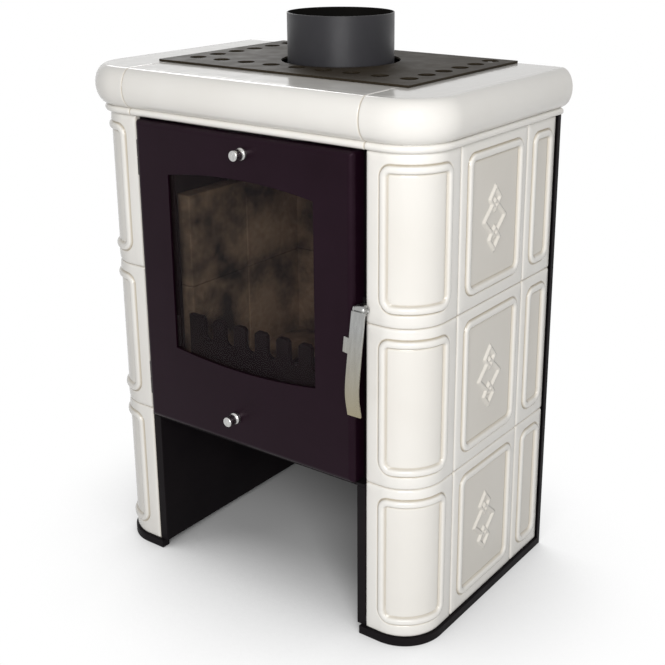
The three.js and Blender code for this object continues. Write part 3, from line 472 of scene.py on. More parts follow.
# middle of the raised band from the front, rear, bottom and top edge of each kind of tile
BAND_INSETS = {
    "corner": (25.5 * MM, 26.5 * MM, 24.3 * MM, 20.3 * MM),
    "side": (21.0 * MM, 19.5 * MM, 24.3 * MM, 20.3 * MM),
    "rear": (20.0 * MM, 16.5 * MM, 23.0 * MM, 21.0 * MM),
}
BAND_HALF = 5.6 * MM
BAND_HEIGHT = 2.9 * MM
BAND_CORNER_TOP = 10 * MM
BAND_CORNER_BOTTOM = 14 * MM
OUTER_GROOVE = (1.7 * MM, 1.1 * MM)  # depth and width
INNER_GROOVE = (1.0 * MM, 1.4 * MM)
FIELD_SINK = 1.0 * MM
# how much darker the glaze is: in the field painted shade, heavier on the side and rear tiles; in the inner
# groove pooled glaze and painted shade; and at the edge
FIELD_SHADE = {"corner": 0.1, "side": 0.32, "rear": 0.32}
INNER_POOL_AND_SHADE = 0.6
EDGE_DARKENING = 0.5
EDGE_DARKENING_WIDTH = 1.5 * MM


def band_distance(u, v, half_u, half_v, kind):
    """Signed distance to the middle of the raised band, negative inside it."""
    front, rear, bottom, top = BAND_INSETS[kind]
    middle_u = (front - rear) / 2
    middle_v = (bottom - top) / 2
    corner = np.where(v > middle_v, BAND_CORNER_TOP, BAND_CORNER_BOTTOM)
    return round_box(
        u - middle_u, v - middle_v, half_u - (front + rear) / 2, half_v - (bottom + top) / 2, corner
    )


def groove(distance, width):
    return np.exp(-((distance - BAND_HALF) / width) ** 2)


def from_edge(u, v, half_u, half_v):
    """Distance inwards from a tile's outline."""
    return np.clip(-round_box(u, v, half_u, half_v, EDGE_CORNER), 0, None)


def tile_relief(u, v, half_u, half_v, kind):
    inside = from_edge(u, v, half_u, half_v)
    near = 1 - np.clip(inside / EDGE_ROUND, 0, 1)
    height = -EDGE_DROP * (1 - np.sqrt(1 - near ** 2))
    height -= EDGE_SINK * (1 - np.clip(inside / EDGE_EASE, 0, 1)) ** 2
    band = band_distance(u, v, half_u, half_v, kind)
    across = np.clip(np.abs(band) / BAND_HALF, 0, 1)
    height += BAND_HEIGHT * (1 - across ** 2.4) ** 0.8
    height -= OUTER_GROOVE[0] * groove(band, OUTER_GROOVE[1])
    height -= INNER_GROOVE[0] * groove(-band, INNER_GROOVE[1])
    height -= FIELD_SINK * np.clip((-band - BAND_HALF + 1 * MM) / (2 * MM), 0, 1)
    return height


def pool_and_shade_glaze(u, v, half_u, half_v, kind):
    """Where the glaze looks darker: pooled glaze and painted shade in the grooves, painted shade in the
    field, and darkening at the tile's edge.
    """
    band = band_distance(u, v, half_u, half_v, kind)
    lines = groove(band, OUTER_GROOVE[1]) + INNER_POOL_AND_SHADE * groove(-band, INNER_GROOVE[1])
    # painted shade: the flat field is darker, more on the side and rear tiles
    field = FIELD_SHADE[kind] * np.clip((-band - BAND_HALF) / (1 * MM), 0, 1)
    inside = from_edge(u, v, half_u, half_v)
    edge = EDGE_DARKENING * (1 - np.clip(inside / EDGE_DARKENING_WIDTH, 0, 1))
    return np.clip(lines + field + edge, 0, 1)


def set_pool_and_shade(piece, values):
    piece.data.attributes.new("pool_and_shade", "FLOAT", "POINT").data.foreach_set("value", values)


LOZENGES = [(0, 27 * MM, 24 * MM), (27 * MM, 13 * MM, 14.5 * MM), (-27 * MM, 13 * MM, 14.5 * MM)]
LOZENGE_HALF_BAND = 3.1 * MM
LOZENGE_HEIGHT = 3.2 * MM


def lozenge_relief(u, v):
    height = np.zeros_like(u)
    for middle, half_u, half_v in LOZENGES:
        size = math.hypot(half_u, half_v)
        away = (np.abs(u) * half_v + np.abs(v - middle) * half_u - half_u * half_v) / size
        across = np.clip(np.abs(away) / LOZENGE_HALF_BAND, 0, 1)
        height = np.maximum(height, LOZENGE_HEIGHT * (1 - across ** 2) ** 0.7)
    return height


def grid_lines(length, middle_step, fine_half=0.0, fine_step=1.2 * MM):
    """Distances along a tile, close together where the relief is and wide apart elsewhere."""
    edge = [0, 0.12, 0.45, 1.0, 1.8, 2.8, 4.0, 5.2, 7.0, 8.4]
    band = list(np.arange(9.4, 35.0, 1.0))
    near = [value * MM for value in edge + band]
    gap = length - 2 * near[-1]
    middle = []
    if gap > middle_step:
        fine = min(fine_half, gap / 2 - fine_step)
        if fine > 0:
            wide = gap / 2 - fine
            outer = np.linspace(0, wide, max(2, round(wide / middle_step) + 1))[1:]
            inner = np.linspace(wide, gap - wide, round(2 * fine / fine_step) + 1)[1:]
            middle = list(outer) + list(inner) + list(gap - outer[::-1])[1:]
        else:
            middle = list(np.linspace(0, gap, round(gap / middle_step) + 1)[1:-1])
    start = near[-1]
    lines = near + [start + value for value in middle if 1e-6 < value < gap - 1e-6]
    lines += [length - value for value in reversed(near)]
    return np.array(sorted(set(round(value, 7) for value in lines)))


def tile_rim(grid):
    """The grid's outermost indices, in order round it."""
    return [*grid[:, 0], *grid[-1, 1:], *grid[-2::-1, -1], *grid[0, -2:0:-1]]


def tile_faces(grid, rim):
    """The front's grid, the walls to the back's own rim, and the back in strips across it."""
    nu, nv = grid.shape
    faces = [
        (grid[i, j], grid[i + 1, j], grid[i + 1, j + 1], grid[i, j + 1])
        for i in range(nu - 1)
        for j in range(nv - 1)
    ]
    first = grid.size
    count = len(rim)
    for i in range(count):
        j = (i + 1) % count
        faces.append((rim[j], rim[i], first + i, first + j))
    top = [first + nu + nv - 2 + k for k in range(nu)][::-1]
    for i in range(1, nu - 2):
        faces.append((first + i, top[i], top[i + 1], first + i + 1))
    left = [first] + [first + count - k for k in range(1, nv - 1)] + [top[0]]
    faces.append(left + [top[1], first + 1])
    right = [first + nu - 1 + k for k in range(nv)]
    faces.append([first + nu - 2, top[nu - 2]] + right[::-1])
    return faces


def make_tile(node_name, kind, s0, s1, flip):
    """A tile between the distances s0 and s1 along the face, flipped over for the left side."""
    low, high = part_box(node_name)
    ornament = kind == "side"
    s0 -= JOINT_CLOSE
    length = s1 - s0 + JOINT_CLOSE
    height = high.z - low.z + 2 * JOINT_CLOSE
    along = grid_lines(length, 4 * MM, 34 * MM if ornament else 0)
    upward = grid_lines(height, 5 * MM, 50 * MM if ornament else 0)
    u, v = np.meshgrid(along - length / 2, upward - height / 2, indexing="ij")
    lift = tile_relief(u, v, length / 2, height / 2, kind)
    if ornament:
        lift += lozenge_relief(u, v)
    s = s0 + length / 2 + u
    x, y = face_points(s, lift)
    z = low.z - JOINT_CLOSE + height / 2 + v
    points = np.stack([x, y, z], -1).reshape(-1, 3)
    grid = np.arange(len(points)).reshape(u.shape)
    rim = tile_rim(grid)
    faces = tile_faces(grid, rim)
    back_x, back_y = face_points(s.reshape(-1)[rim], np.full(len(rim), -TILE_DEPTH))
    back = np.stack([back_x, back_y, points[rim][:, 2]], -1)
    points = np.vstack([points, back])
    if flip:
        points[:, 0] *= -1
        faces = [tuple(reversed(face)) for face in faces]
    piece = piece_from(node_name + "_glazed", points, faces)
    values = np.zeros(len(points), np.float32)
    # darker glaze: pooled glaze and painted shade in the grooves, painted shade in the field, darkening at
    # the edge
    values[:grid.size] = pool_and_shade_glaze(u, v, length / 2, height / 2, kind).reshape(-1)
    set_pool_and_shade(piece, values)
    settle(piece, GLAZE, "casing", [node_name], 60)


def make_tiles():
    side_low, side_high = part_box("tile_right_top_side")
    rear_low, rear_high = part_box("tile_right_top_rear")
    corner_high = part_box("tile_right_top_corner")[1]
    straight = FRONT_STRAIGHT + ARC_LENGTH - FACE_Y - CORNER_RADIUS
    spans = {
        "corner": (0, straight + corner_high.y),
        "side": (straight + side_low.y, straight + side_high.y),
        "rear": (straight + rear_low.y, straight + rear_high.y),
    }
    for side in SIDES:
        for row in ("bottom", "middle", "top"):
            for kind, (s0, s1) in spans.items():
                make_tile(f"tile_{side}_{row}_{kind}", kind, s0, s1, side == "left")


make_tiles()

# ---- crown
CROWN_WALL = 12 * MM
BEAD_HEIGHT = 10 * MM
BEAD_REACH = 7 * MM
NOSE = (CROWN_HIGH - CROWN_LOW - BEAD_HEIGHT) / 2
NOSE_REACH = 18.6 * MM
ARRIS = 2.2 * MM  # rounding of the pieces where they meet
JOINT_DARKENING = 0.7  # how much darker the glaze is there
JOINT_DARKENING_WIDTH = 0.9 * MM
CROWN_TURN_STEPS = 26


def crown_section(inner):
    """Points of (outward reach, height), from the flat top round the nose and bead to the back."""
    tall = CROWN_HIGH - CROWN_LOW
    points = [(inner, tall), (-9 * MM, tall), (-4 * MM, tall - 0.15 * MM), (0, tall - 0.5 * MM)]
    for a, b in arc(0, 0, 1, 84, -84, 26):
        points.append((NOSE_REACH * a, BEAD_HEIGHT + NOSE + NOSE * b))
    points.append((2.0 * MM, BEAD_HEIGHT - 0.3 * MM))
    half = BEAD_HEIGHT / 2
    points += arc(BEAD_REACH - half, half, half * 0.98, 80, -90, 10)
    points += [(-TILE_DEPTH, 0), (-TILE_DEPTH, tall - CROWN_WALL), (inner, tall - CROWN_WALL)]
    return points


def joint_fall(distance):
    near = 1 - min(max(distance / ARRIS, 0), 1)
    return ARRIS * (1 - math.sqrt(1 - near ** 2))


def joint_steps(start, end, step):
    edge = [0, 0.1 * MM, 0.4 * MM, 0.9 * MM, 1.5 * MM, ARRIS]
    plain = list(np.linspace(start + 2 * ARRIS, end, max(2, round((end - start) / step))))
    return [start + value for value in edge] + plain


def fallen(section, fall):
    """The section drawn in by a rounded joint edge: its outer points move in and down."""
    tall = CROWN_HIGH - CROWN_LOW
    moved = []
    for reach, height in section:
        if height > tall - 2 * MM and reach <= 0:
            moved.append((reach, height - fall))
        elif reach > 0:
            moved.append((reach - fall * 0.8, height + (fall * 0.5 if height < BEAD_HEIGHT / 2 else 0)))
        else:
            moved.append((reach, height))
    return moved


def sweep(work, sections, place):
    rings = [[work.verts.new(place(k, reach, height)) for reach, height in ring] for k, ring in sections]
    join_rings(work, rings)
    work.faces.new(list(reversed(rings[0])))
    work.faces.new(rings[-1])
    return rings


# a narrow darker line of glaze along the joint between the crown's pieces
def darken_joint(piece, joint_x):
    """Darkens the glaze along the nose's joint at x = +-joint_x."""
    values = []
    for vert in piece.data.vertices:
        near = math.exp(-((abs(vert.co.x) - joint_x) / JOINT_DARKENING_WIDTH) ** 2)
        values.append(JOINT_DARKENING * near if vert.co.y < FACE_Y + 4 * MM else 0.0)
    set_pool_and_shade(piece, values)
    return piece


def make_crown_front():
    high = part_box("crown_front")[1]
    half = high.x + SEAT / 2
    section = crown_section(FACE_Y - high.y)
    lines = [x - half for x in joint_steps(0, half, 40 * MM)]
    lines += [-x for x in reversed(lines[:-1])]
    work = bmesh.new()
    sections = [(x, fallen(section, joint_fall(half - abs(x)))) for x in lines]
    sweep(work, sections, lambda x, reach, height: (x, FACE_Y - reach, CROWN_LOW + height))
    piece = darken_joint(piece_from_bmesh("crown_front_glazed", work), half)
    settle(piece, GLAZE, "casing", ["crown_front"], 50)


def make_crown_side(side):
    """A corner piece: the section swept round the corner, and the flat slab behind it."""
    low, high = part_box("crown_right")
    start = low.x - OPENING_X - SEAT / 2
    end = FRONT_STRAIGHT + ARC_LENGTH + high.y - FACE_Y - CORNER_RADIUS
    section = crown_section(CROWN_WALL - CORNER_RADIUS)
    lines = joint_steps(start, FRONT_STRAIGHT, 6 * MM)
    turn = range(1, CROWN_TURN_STEPS + 1)
    lines += [FRONT_STRAIGHT + ARC_LENGTH * i / CROWN_TURN_STEPS for i in turn]
    lines += list(np.linspace(FRONT_STRAIGHT + ARC_LENGTH, end, 8))[1:]

    def place(s, reach, height):
        x, y = face_points(np.array(s), np.array(reach))
        return (float(x), float(y), CROWN_LOW + height)

    work = bmesh.new()
    rings = sweep(work, [(s, fallen(section, joint_fall(s - start))) for s in lines], place)
    flat_x = OPENING_X + start
    corner = [ring[0].co.copy() for ring in rings]
    outline = [(flat_x, high.y)] + [(p.x, p.y) for p in corner]
    for z in (CROWN_HIGH, CROWN_HIGH - CROWN_WALL):
        work.faces.new([work.verts.new((x, y, z)) for x, y in outline])
    for (ax, ay), (bx, by) in [(outline[0], outline[1]), (outline[-1], outline[0])]:
        ends = [(ax, ay, CROWN_HIGH), (bx, by, CROWN_HIGH)]
        ends += [(bx, by, CROWN_HIGH - CROWN_WALL), (ax, ay, CROWN_HIGH - CROWN_WALL)]
        work.faces.new([work.verts.new(p) for p in ends])
    for vert in work.verts:
        vert.co.x *= SIDES[side]
    piece = darken_joint(piece_from_bmesh(f"crown_{side}_glazed", work), flat_x)
    settle(piece, GLAZE, "casing", [f"crown_{side}"], 50)


make_crown_front()
for crown_side in SIDES:
    make_crown_side(crown_side)


# ---- top plate and flue collar
def circle(x, y, radius, steps=40):
    return arc(x, y, radius, 0, 360 * (steps - 1) / steps, steps - 1)


HOLE_RADIUS = 12 * MM
HOLE_SIDE_INSET = 31 * MM  # from the plate's edges
HOLE_FRONT_INSET = 48 * MM
SIDE_HOLE_PITCH = 41 * MM
SIDE_HOLES = 5
HALF_ROW = 4  # holes of the front row on either side of its middle one
COLLAR_CLEARANCE = 9 * MM


def make_top_plate():
    low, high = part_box("top_plate")
    collar_low, collar_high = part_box("flue_collar")
    collar_y = (collar_low.y + collar_high.y) / 2
    collar_radius = (collar_high.x - collar_low.x) / 2
    side_x = high.x - HOLE_SIDE_INSET
    row_y = low.y + HOLE_FRONT_INSET
    places = [(side_x * i / HALF_ROW, row_y) for i in range(-HALF_ROW, HALF_ROW + 1)]
    for i in range(1, SIDE_HOLES + 1):
        places += [(sign * side_x, row_y + i * SIDE_HOLE_PITCH) for sign in (-1, 1)]
    holes = [circle(x, y, HOLE_RADIUS) for x, y in places]
    holes.append(circle(0, collar_y, collar_radius + COLLAR_CLEARANCE, 96))
    outline = rounded_rectangle(low.x, high.x, low.y, high.y, 2 * MM, 4)
    thick = high.z - low.z
    piece = punched(
        "top_plate_punched", outline, holes, thick, 0.4 * MM, lambda a, b, depth: (a, b, low.z + depth)
    )
    settle(piece, PLATE, "casing", ["top_plate"])


def make_collar():
    low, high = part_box("flue_collar")
    y = (low.y + high.y) / 2
    outer = (high.x - low.x) / 2
    inner = outer - 2 * MM
    tall = high.z - low.z
    edge = 0.5 * MM
    profile = [
        (inner, 0), (outer, 0), (outer, tall * 0.5), (outer, tall - edge), (outer - edge, tall),
        (inner + edge, tall), (inner, tall - edge), (inner, tall * 0.5), (inner, 0),
    ]
    piece = lathe("flue_collar_rolled", profile, lambda u, v, h: (u, y + v, low.z + h), 96)
    settle(piece, COLLAR, "casing", ["flue_collar"])
    piece.data.materials.append(SOOT)
    for face in piece.data.polygons:
        middle = face.center
        if math.hypot(middle.x, middle.y - y) < inner + edge / 2:
            face.material_index = 1


make_top_plate()
make_collar()

# ---- plinths and steel panels
PLINTH_BAND = 14 * MM
SHEET = 2 * MM


def make_plinth(side):
    low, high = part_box("plinth_right")
    radius = high.x - (FACE_X - CORNER_RADIUS)
    cx = high.x - radius
    cy = low.y + radius
    outline = [(low.x, low.y)] + arc(cx, cy, radius, -90, 0, 20) + [(high.x, high.y)]
    outline += [(high.x - PLINTH_BAND, high.y)]
    outline += arc(cx, cy, radius - PLINTH_BAND, 0, -90, 20) + [(low.x, low.y + PLINTH_BAND)]
    name = f"plinth_{side}_band"
    piece = prism(name, outline, lambda a, b, depth: (SIDES[side] * a, b, depth), high.z)
    settle(soften(piece, 0.8 * MM), BLACK, "casing", [f"plinth_{side}"])


for plinth_side in SIDES:
    make_plinth(plinth_side)

SCREW_RADIUS = 4.6 * MM
SCREW_HEAD = 0.8 * MM
SCREW_INSET = 12 * MM  # from the rear panel's side edges
SCREW_HEIGHTS = np.linspace(60 * MM, 620 * MM, 5)
FOOT_SCREW_X = 120 * MM
FOOT_SCREW_Z = 22 * MM
SCREW_STEPS = 16
# reach and height of a head's profile, as shares of its radius and height
SCREW_PROFILE = [
    (0, 0.55), (0.22, 0.55), (0.3, 1), (0.62, 0.86), (0.86, 0.55), (1.0, 0.12), (1.0, 0), (0, 0),
]


def screw_heads(name, places, axis):
    """Low domed heads with a round recess, on faces that look along the axis."""
    side = axis.orthogonal().normalized()
    other = axis.cross(side)
    turns = [2 * math.pi * i / SCREW_STEPS for i in range(SCREW_STEPS)]
    spokes = [side * math.cos(turn) + other * math.sin(turn) for turn in turns]
    work = bmesh.new()
    for place in places:
        rings = []
        for reach, tall in SCREW_PROFILE:
            middle = Vector(place) + axis * tall * SCREW_HEAD
            rings.append([work.verts.new(middle + spoke * reach * SCREW_RADIUS) for spoke in spokes])
        join_rings(work, rings)
    bmesh.ops.remove_doubles(work, verts=work.verts, dist=1e-7)
    settle(piece_from_bmesh(name, work, 1e-7), ZINC, "casing")


SLOT_COUNT = 5
SLOT_HALF = 120 * MM
SLOT_TALL = 5 * MM
SLOT_ROUND = 2.4 * MM
SLOT_DEPTH = 130 * MM  # lower edge of the first slot below the crown's top
SLOT_PITCH = 14 * MM


def make_rear_sheet(low, high, tiles_top):
    """The back's sheet with its slots; the screws' heads take the last of its depth."""
    front = high.y - SHEET
    upper_half = FACE_X - CROWN_WALL
    outline = [
        (low.x, 0), (high.x, 0), (high.x, tiles_top), (upper_half, tiles_top),
        (upper_half, high.z), (-upper_half, high.z), (-upper_half, tiles_top), (low.x, tiles_top),
    ]
    slots = []
    for i in range(SLOT_COUNT):
        z = CROWN_HIGH - (SLOT_DEPTH + i * SLOT_PITCH)
        slots.append(rounded_rectangle(-SLOT_HALF, SLOT_HALF, z, z + SLOT_TALL, SLOT_ROUND, 5))
    back = punched(
        "rear_panel_sheet", outline, slots, SHEET - SCREW_HEAD, 0.3 * MM,
        lambda a, b, depth: (a, front + depth, b),
    )
    settle(back, BLACK, "casing", ["rear_panel"])


def make_rear_flange(low, high, tiles_top):
    """The sheet's folded side edges and foot, which reach 0.2 mm into it."""
    back = high.y - SHEET + 0.2 * MM
    work = bmesh.new()
    for sign in (-1, 1):
        edge = sorted((sign * high.x, sign * (high.x - SHEET)))
        add_block(work, (edge[0], low.y, 0), (edge[1], back, tiles_top))
    foot = high.x - SHEET - 0.1 * MM
    add_block(work, (-foot, low.y + 0.1 * MM, 0), (foot, back, SHEET))
    flange = soften(piece_from_bmesh("rear_panel_flange", work), 0.6 * MM)
    settle(flange, BLACK, "casing")


def make_rear_panel():
    low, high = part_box("rear_panel")
    tiles_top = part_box("tile_right_top_rear")[1].z
    make_rear_sheet(low, high, tiles_top)
    make_rear_flange(low, high, tiles_top)
    face = high.y - SCREW_HEAD
    places = [(sign * (high.x - SCREW_INSET), face, z) for sign in (-1, 1) for z in SCREW_HEIGHTS]
    places += [(sign * FOOT_SCREW_X, face, FOOT_SCREW_Z) for sign in (-1, 1)]
    screw_heads("rear_panel_screws", places, Vector((0, 1, 0)))


make_rear_panel()


def make_niche_side(side):
    low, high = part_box("niche_side_right")
    inner = low.x
    outline = [(inner, high.y), (inner, low.y), (high.x, low.y), (high.x, low.y + SHEET)]
    outline += [(inner + SHEET, low.y + SHEET), (inner + SHEET, high.y)]
    piece = prism(
        f"niche_side_{side}_folded", outline,
        lambda a, b, depth: (SIDES[side] * a, b, low.z + depth), high.z - low.z,
    )
    settle(soften(piece, 1.0 * MM, 3), BLACK, "casing", [f"niche_side_{side}"])


for niche_side in SIDES:
    make_niche_side(niche_side)

# ---- door
DOOR_SHEET = 3 * MM
DOOR_FOLD = 8 * MM
DOOR_CORNER = 3 * MM
WINDOW_HALF = 124 * MM
WINDOW_TOP = 600 * MM
WINDOW_TOP_ARCH = 10 * MM
WINDOW_LOW = 350 * MM
WINDOW_LOW_ARCH = 9 * MM
DOOR_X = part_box("door_gasket")[1].x + DOOR_SHEET + SEAT


def window_outline(steps=24):
    """The opening: upright sides, and a lower and an upper edge that are arched outwards."""
    half = WINDOW_HALF
    shares = [i / steps for i in range(steps + 1)]
    points = [(-half + 2 * half * t, WINDOW_LOW - 4 * WINDOW_LOW_ARCH * t * (1 - t)) for t in shares]
    points += [(half - 2 * half * t, WINDOW_TOP + 4 * WINDOW_TOP_ARCH * t * (1 - t)) for t in shares]
    return points


def make_door_leaf():
    """A folded sheet: its outer face and edge, filled up to the window and then thickened."""
    front = DOOR_LOW.y
    work = bmesh.new()
    rings = []
    fold = arc(DOOR_FOLD, DOOR_FOLD, DOOR_FOLD, 180, 270, 8)
    profile = [(0, DOOR_HIGH.y)] + [(inset, front + depth) for inset, depth in fold]
    for inset, y in profile:
        corner = max(DOOR_CORNER - inset * 0.4, 0.6 * MM)
        loop = rounded_rectangle(
            -DOOR_X + inset, DOOR_X - inset, DOOR_LOW.z + inset, DOOR_HIGH.z - inset, corner, 5
        )
        rings.append([work.verts.new((x, y, z)) for x, z in loop])
    join_rings(work, rings)
    edges = [work.edges.get(pair) for pair in pairs(rings[-1])]
    window = [work.verts.new((x, front, z)) for x, z in window_outline()]
    edges += [work.edges.new(pair) for pair in pairs(window)]
    bmesh.ops.triangle_fill(work, edges=edges, use_beauty=True, use_dissolve=False)
    piece = piece_from_bmesh("door_leaf_folded", work)
    face_front(piece)
    shell = piece.modifiers.new("sheet", "SOLIDIFY")
    shell.thickness = DOOR_SHEET
    shell.offset = -1
    shell.use_even_offset = True
    soften(piece, 0.7 * MM, 2, 60)
    settle(piece, DOOR_PAINT, "door", ["door_leaf"])


make_door_leaf()


def make_glass_pane():
    low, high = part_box("door_glass")
    outline = rounded_rectangle(low.x, high.x, low.z, high.z, 3 * MM, 4)
    piece = punched(
        "door_glass_pane", outline, [], high.y - low.y, 0.4 * MM, lambda a, b, depth: (a, low.y + depth, b)
    )
    settle(piece, GLASS, "door", ["door_glass"])


make_glass_pane()
HINGE_RADIUS = 4.5 * MM
HINGE_LENGTH = 50 * MM
HINGE_PIN = 2.5 * MM
HINGE_STRAP = 3 * MM
HINGE_EDGE = 0.6 * MM
HINGE_ARM_HALF = 1 * MM
HINGE_STEPS = 36


def make_hinge(name):
    """A fixed barrel with its pin and strap, and the door's knuckle and arm that turn on it."""
    low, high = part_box(name)
    x = low.x + HINGE_RADIUS
    y = low.y + HINGE_RADIUS
    tall = HINGE_LENGTH / 2 - SEAT
    full = high.z - low.z
    wall = outer_wall(HINGE_RADIUS, tall, HINGE_EDGE)
    pin = [(HINGE_PIN, tall), (HINGE_PIN, full - 1 * MM), (HINGE_PIN - 0.8 * MM, full), (0, full)]
    profile = [(0, 0), *wall, *pin]
    barrel = lathe(name + "_barrel", profile, lambda u, v, h: (x + u, y + v, low.z + h), HINGE_STEPS)
    settle(barrel, BLACK, "casing", [name])
    work = bmesh.new()
    add_block(work, (low.x, y, low.z), (low.x + HINGE_STRAP, high.y, low.z + tall))
    strap = soften(piece_from_bmesh(name + "_strap", work), HINGE_EDGE)
    settle(strap, BLACK, "casing")
    start = low.z + HINGE_LENGTH / 2 + SEAT
    bore = HINGE_PIN + SEAT
    profile = [(bore, 0), *wall, (bore, tall), (bore, 0)]
    knuckle = lathe(name + "_knuckle", profile, lambda u, v, h: (x + u, y + v, start + h), HINGE_STEPS)
    settle(knuckle, DOOR_PAINT, "door")
    arm_low = (x + HINGE_RADIUS * 0.8, y - HINGE_ARM_HALF, start)
    arm_high = (-DOOR_X + 1 * MM, y + HINGE_ARM_HALF, start + tall)
    work = bmesh.new()
    add_block(work, arm_low, arm_high)
    settle(piece_from_bmesh(name + "_arm", work), DOOR_PAINT, "door")


make_hinge("hinge_lower")
make_hinge("hinge_upper")


def make_gasket():
    low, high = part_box("door_gasket")
    radius = (high.y - low.y) / 2
    middle_y = (low.y + high.y) / 2
    path = rounded_rectangle(low.x + radius, high.x - radius, low.z + radius, high.z - radius, 12 * MM, 8)
    drawing = bpy.data.curves.new("gasket_path", "CURVE")
    drawing.dimensions = "3D"
    drawing.bevel_depth = radius * 0.98
    drawing.bevel_resolution = 4
    add_loop(drawing, [(x, middle_y, z) for x, z in path])
    piece = add_object("door_gasket_rope", mesh_of_curve("gasket_path", drawing))
    settle(piece, ROPE, "door", ["door_gasket"])


make_gasket()


# ---- knobs and handle
def make_knob(name, body):
    """A turned knob: a wide foot, a neck and a flat cap with a rounded edge."""
    low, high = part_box(name)
    x = (low.x + high.x) / 2
    z = (low.z + high.z) / 2
    base = (high.x - low.x) / 2
    reach = high.y - low.y
    cap = 7 * MM
    waist = 6.2 * MM
    profile = [
        (0, 0), (base, 0), (base, 4.4 * MM), (base - 0.4 * MM, 5.4 * MM), (base - 1.2 * MM, 6.1 * MM),
        (waist + 0.5 * MM, 7.0 * MM), (waist, 8.6 * MM), (waist, reach - 8.4 * MM),
        (waist + 0.3 * MM, reach - 7.6 * MM), (cap - 0.2 * MM, reach - 7.0 * MM),
        (cap, reach - 6.4 * MM), (cap, reach - 1.3 * MM),
        (cap - 0.4 * MM, reach - 0.4 * MM), (cap - 1.3 * MM, reach), (cap * 0.5, reach - 0.15 * MM),
        (0, reach - 0.2 * MM),
    ]
    piece = lathe(name + "_turned", profile, lambda u, v, h: (x + u, high.y - h, z + v), 56)
    settle(piece, KNOB, body, [name], 50)


make_knob("air_knob_upper", "upper_air_control")
make_knob("air_knob_lower", "lower_air_control")


def make_handle_boss():
    low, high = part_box("handle_boss")
    y = (low.y + high.y) / 2
    z = (low.z + high.z) / 2
    long = high.x - low.x
    bore = 4.3 * MM
    rim = 0.4 * MM
    wall = outer_wall((high.z - low.z) / 2, long, 1.0 * MM)
    profile = [(bore, 0), *wall, (bore + rim, long), (bore, long - rim), (bore, 0)]
    piece = lathe("handle_boss_turned", profile, lambda u, v, h: (low.x + h, y + u, z + v), 48)
    settle(piece, STEEL, "handle", ["handle_boss"], 50)


def make_handle_pin():
    """A round pin with a small centre mark in its outer end."""
    low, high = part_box("handle_pin")
    boss_low, boss_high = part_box("handle_boss")
    y = (boss_low.y + boss_high.y) / 2
    z = (boss_low.z + boss_high.z) / 2
    radius = (high.z - low.z) / 2
    reach = high.x - low.x
    edge = 0.8 * MM
    profile = [
        (0, 0), (radius, 0), (radius, reach - edge), (radius - edge, reach), (1.6 * MM, reach),
        (1.2 * MM, reach - 1.0 * MM), (0, reach - 1.2 * MM),
    ]
    piece = lathe("handle_pin_turned", profile, lambda u, v, h: (low.x + h, y + u, z + v), 40)
    settle(piece, STEEL, "door", ["handle_pin"], 50)


def spline_points(stops, steps):
    """Smooth curve through the stops."""
    made = []
    ends = [2 * np.array(stops[0]) - np.array(stops[1])] + [np.array(p) for p in stops]
    ends.append(2 * np.array(stops[-1]) - np.array(stops[-2]))
    for a, b, c, d in zip(ends, ends[1:], ends[2:], ends[3:]):
        bend = 2 * a - 5 * b + 4 * c - d
        swing = 3 * b - a - 3 * c + d
        for t in np.linspace(0, 1, steps, endpoint=False):
            made.append(0.5 * (2 * b + (c - a) * t + bend * t ** 2 + swing * t ** 3))
    made.append(np.array(stops[-1], float))
    return made


GRIP_WIDTH = 20 * MM
GRIP_THICK = 3 * MM
GRIP_TAB_TALL = 24 * MM
GRIP_TAB_Z = 426 * MM
# across the strip: distance from its nearer edge, and how far it is drawn back there
GRIP_ARCH = [(0, 0.35 * MM), (1 * MM, 0.15 * MM), (5 * MM, 0)]
# along the thumb tab: how far out from the strip, and how far back
GRIP_TAB = [(2 * MM, 0.2 * MM), (5.5 * MM, 1.2 * MM), (9 * MM, 2.4 * MM)]


def grip_line():
    """Points of (y, z) down the bowed strip, from the boss to its foot."""
    low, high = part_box("handle_grip")
    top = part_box("handle_boss")[0].y - SEAT
    tall = high.z - low.z
    outer = low.y + GRIP_THICK
    stops = [
        (top, high.z - 0.3 * MM),
        (top + (outer - top) * 0.60, low.z + tall * 0.6),
        (outer, low.z + tall * 0.25),
        (outer + 5 * MM, low.z + 0.3 * MM),
    ]
    return spline_points(stops, 8)


def add_thumb_tab(work, rows):
    """Continues the strip's rows to the left, beyond their first vertices."""
    folds = []
    for row in rows:
        start = row[0].co
        ring = [row[0]]
        for reach, back in GRIP_TAB:
            ring.append(work.verts.new((start.x - reach, start.y + back, start.z)))
        folds.append(ring)
    for near, far in zip(folds, folds[1:]):
        for i in range(len(near) - 1):
            work.faces.new((near[i], near[i + 1], far[i + 1], far[i]))


def make_grip():
    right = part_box("handle_grip")[1].x
    left = right - GRIP_WIDTH
    columns = [(left + inset, back) for inset, back in GRIP_ARCH]
    columns += [(right - inset, back) for inset, back in reversed(GRIP_ARCH)]
    line = grip_line()
    work = bmesh.new()
    rows = [[work.verts.new((x, y + back, z)) for x, back in columns] for y, z in line]
    for near, far in zip(rows, rows[1:]):
        for i in range(len(columns) - 1):
            work.faces.new((near[i], far[i], far[i + 1], near[i + 1]))
    reach = GRIP_TAB_TALL / 2 + 2 * MM
    add_thumb_tab(work, [row for row, (y, z) in zip(rows, line) if abs(z - GRIP_TAB_Z) <= reach])
    piece = piece_from_bmesh("handle_grip_bent", work)
    face_front(piece)
    shell = piece.modifiers.new("strip", "SOLIDIFY")
    shell.thickness = GRIP_THICK
    shell.offset = 1
    soften(piece, 0.7 * MM, 3, 50)
    settle(piece, STEEL, "handle", ["handle_grip"], 40)


make_handle_boss()
make_handle_pin()
make_grip()


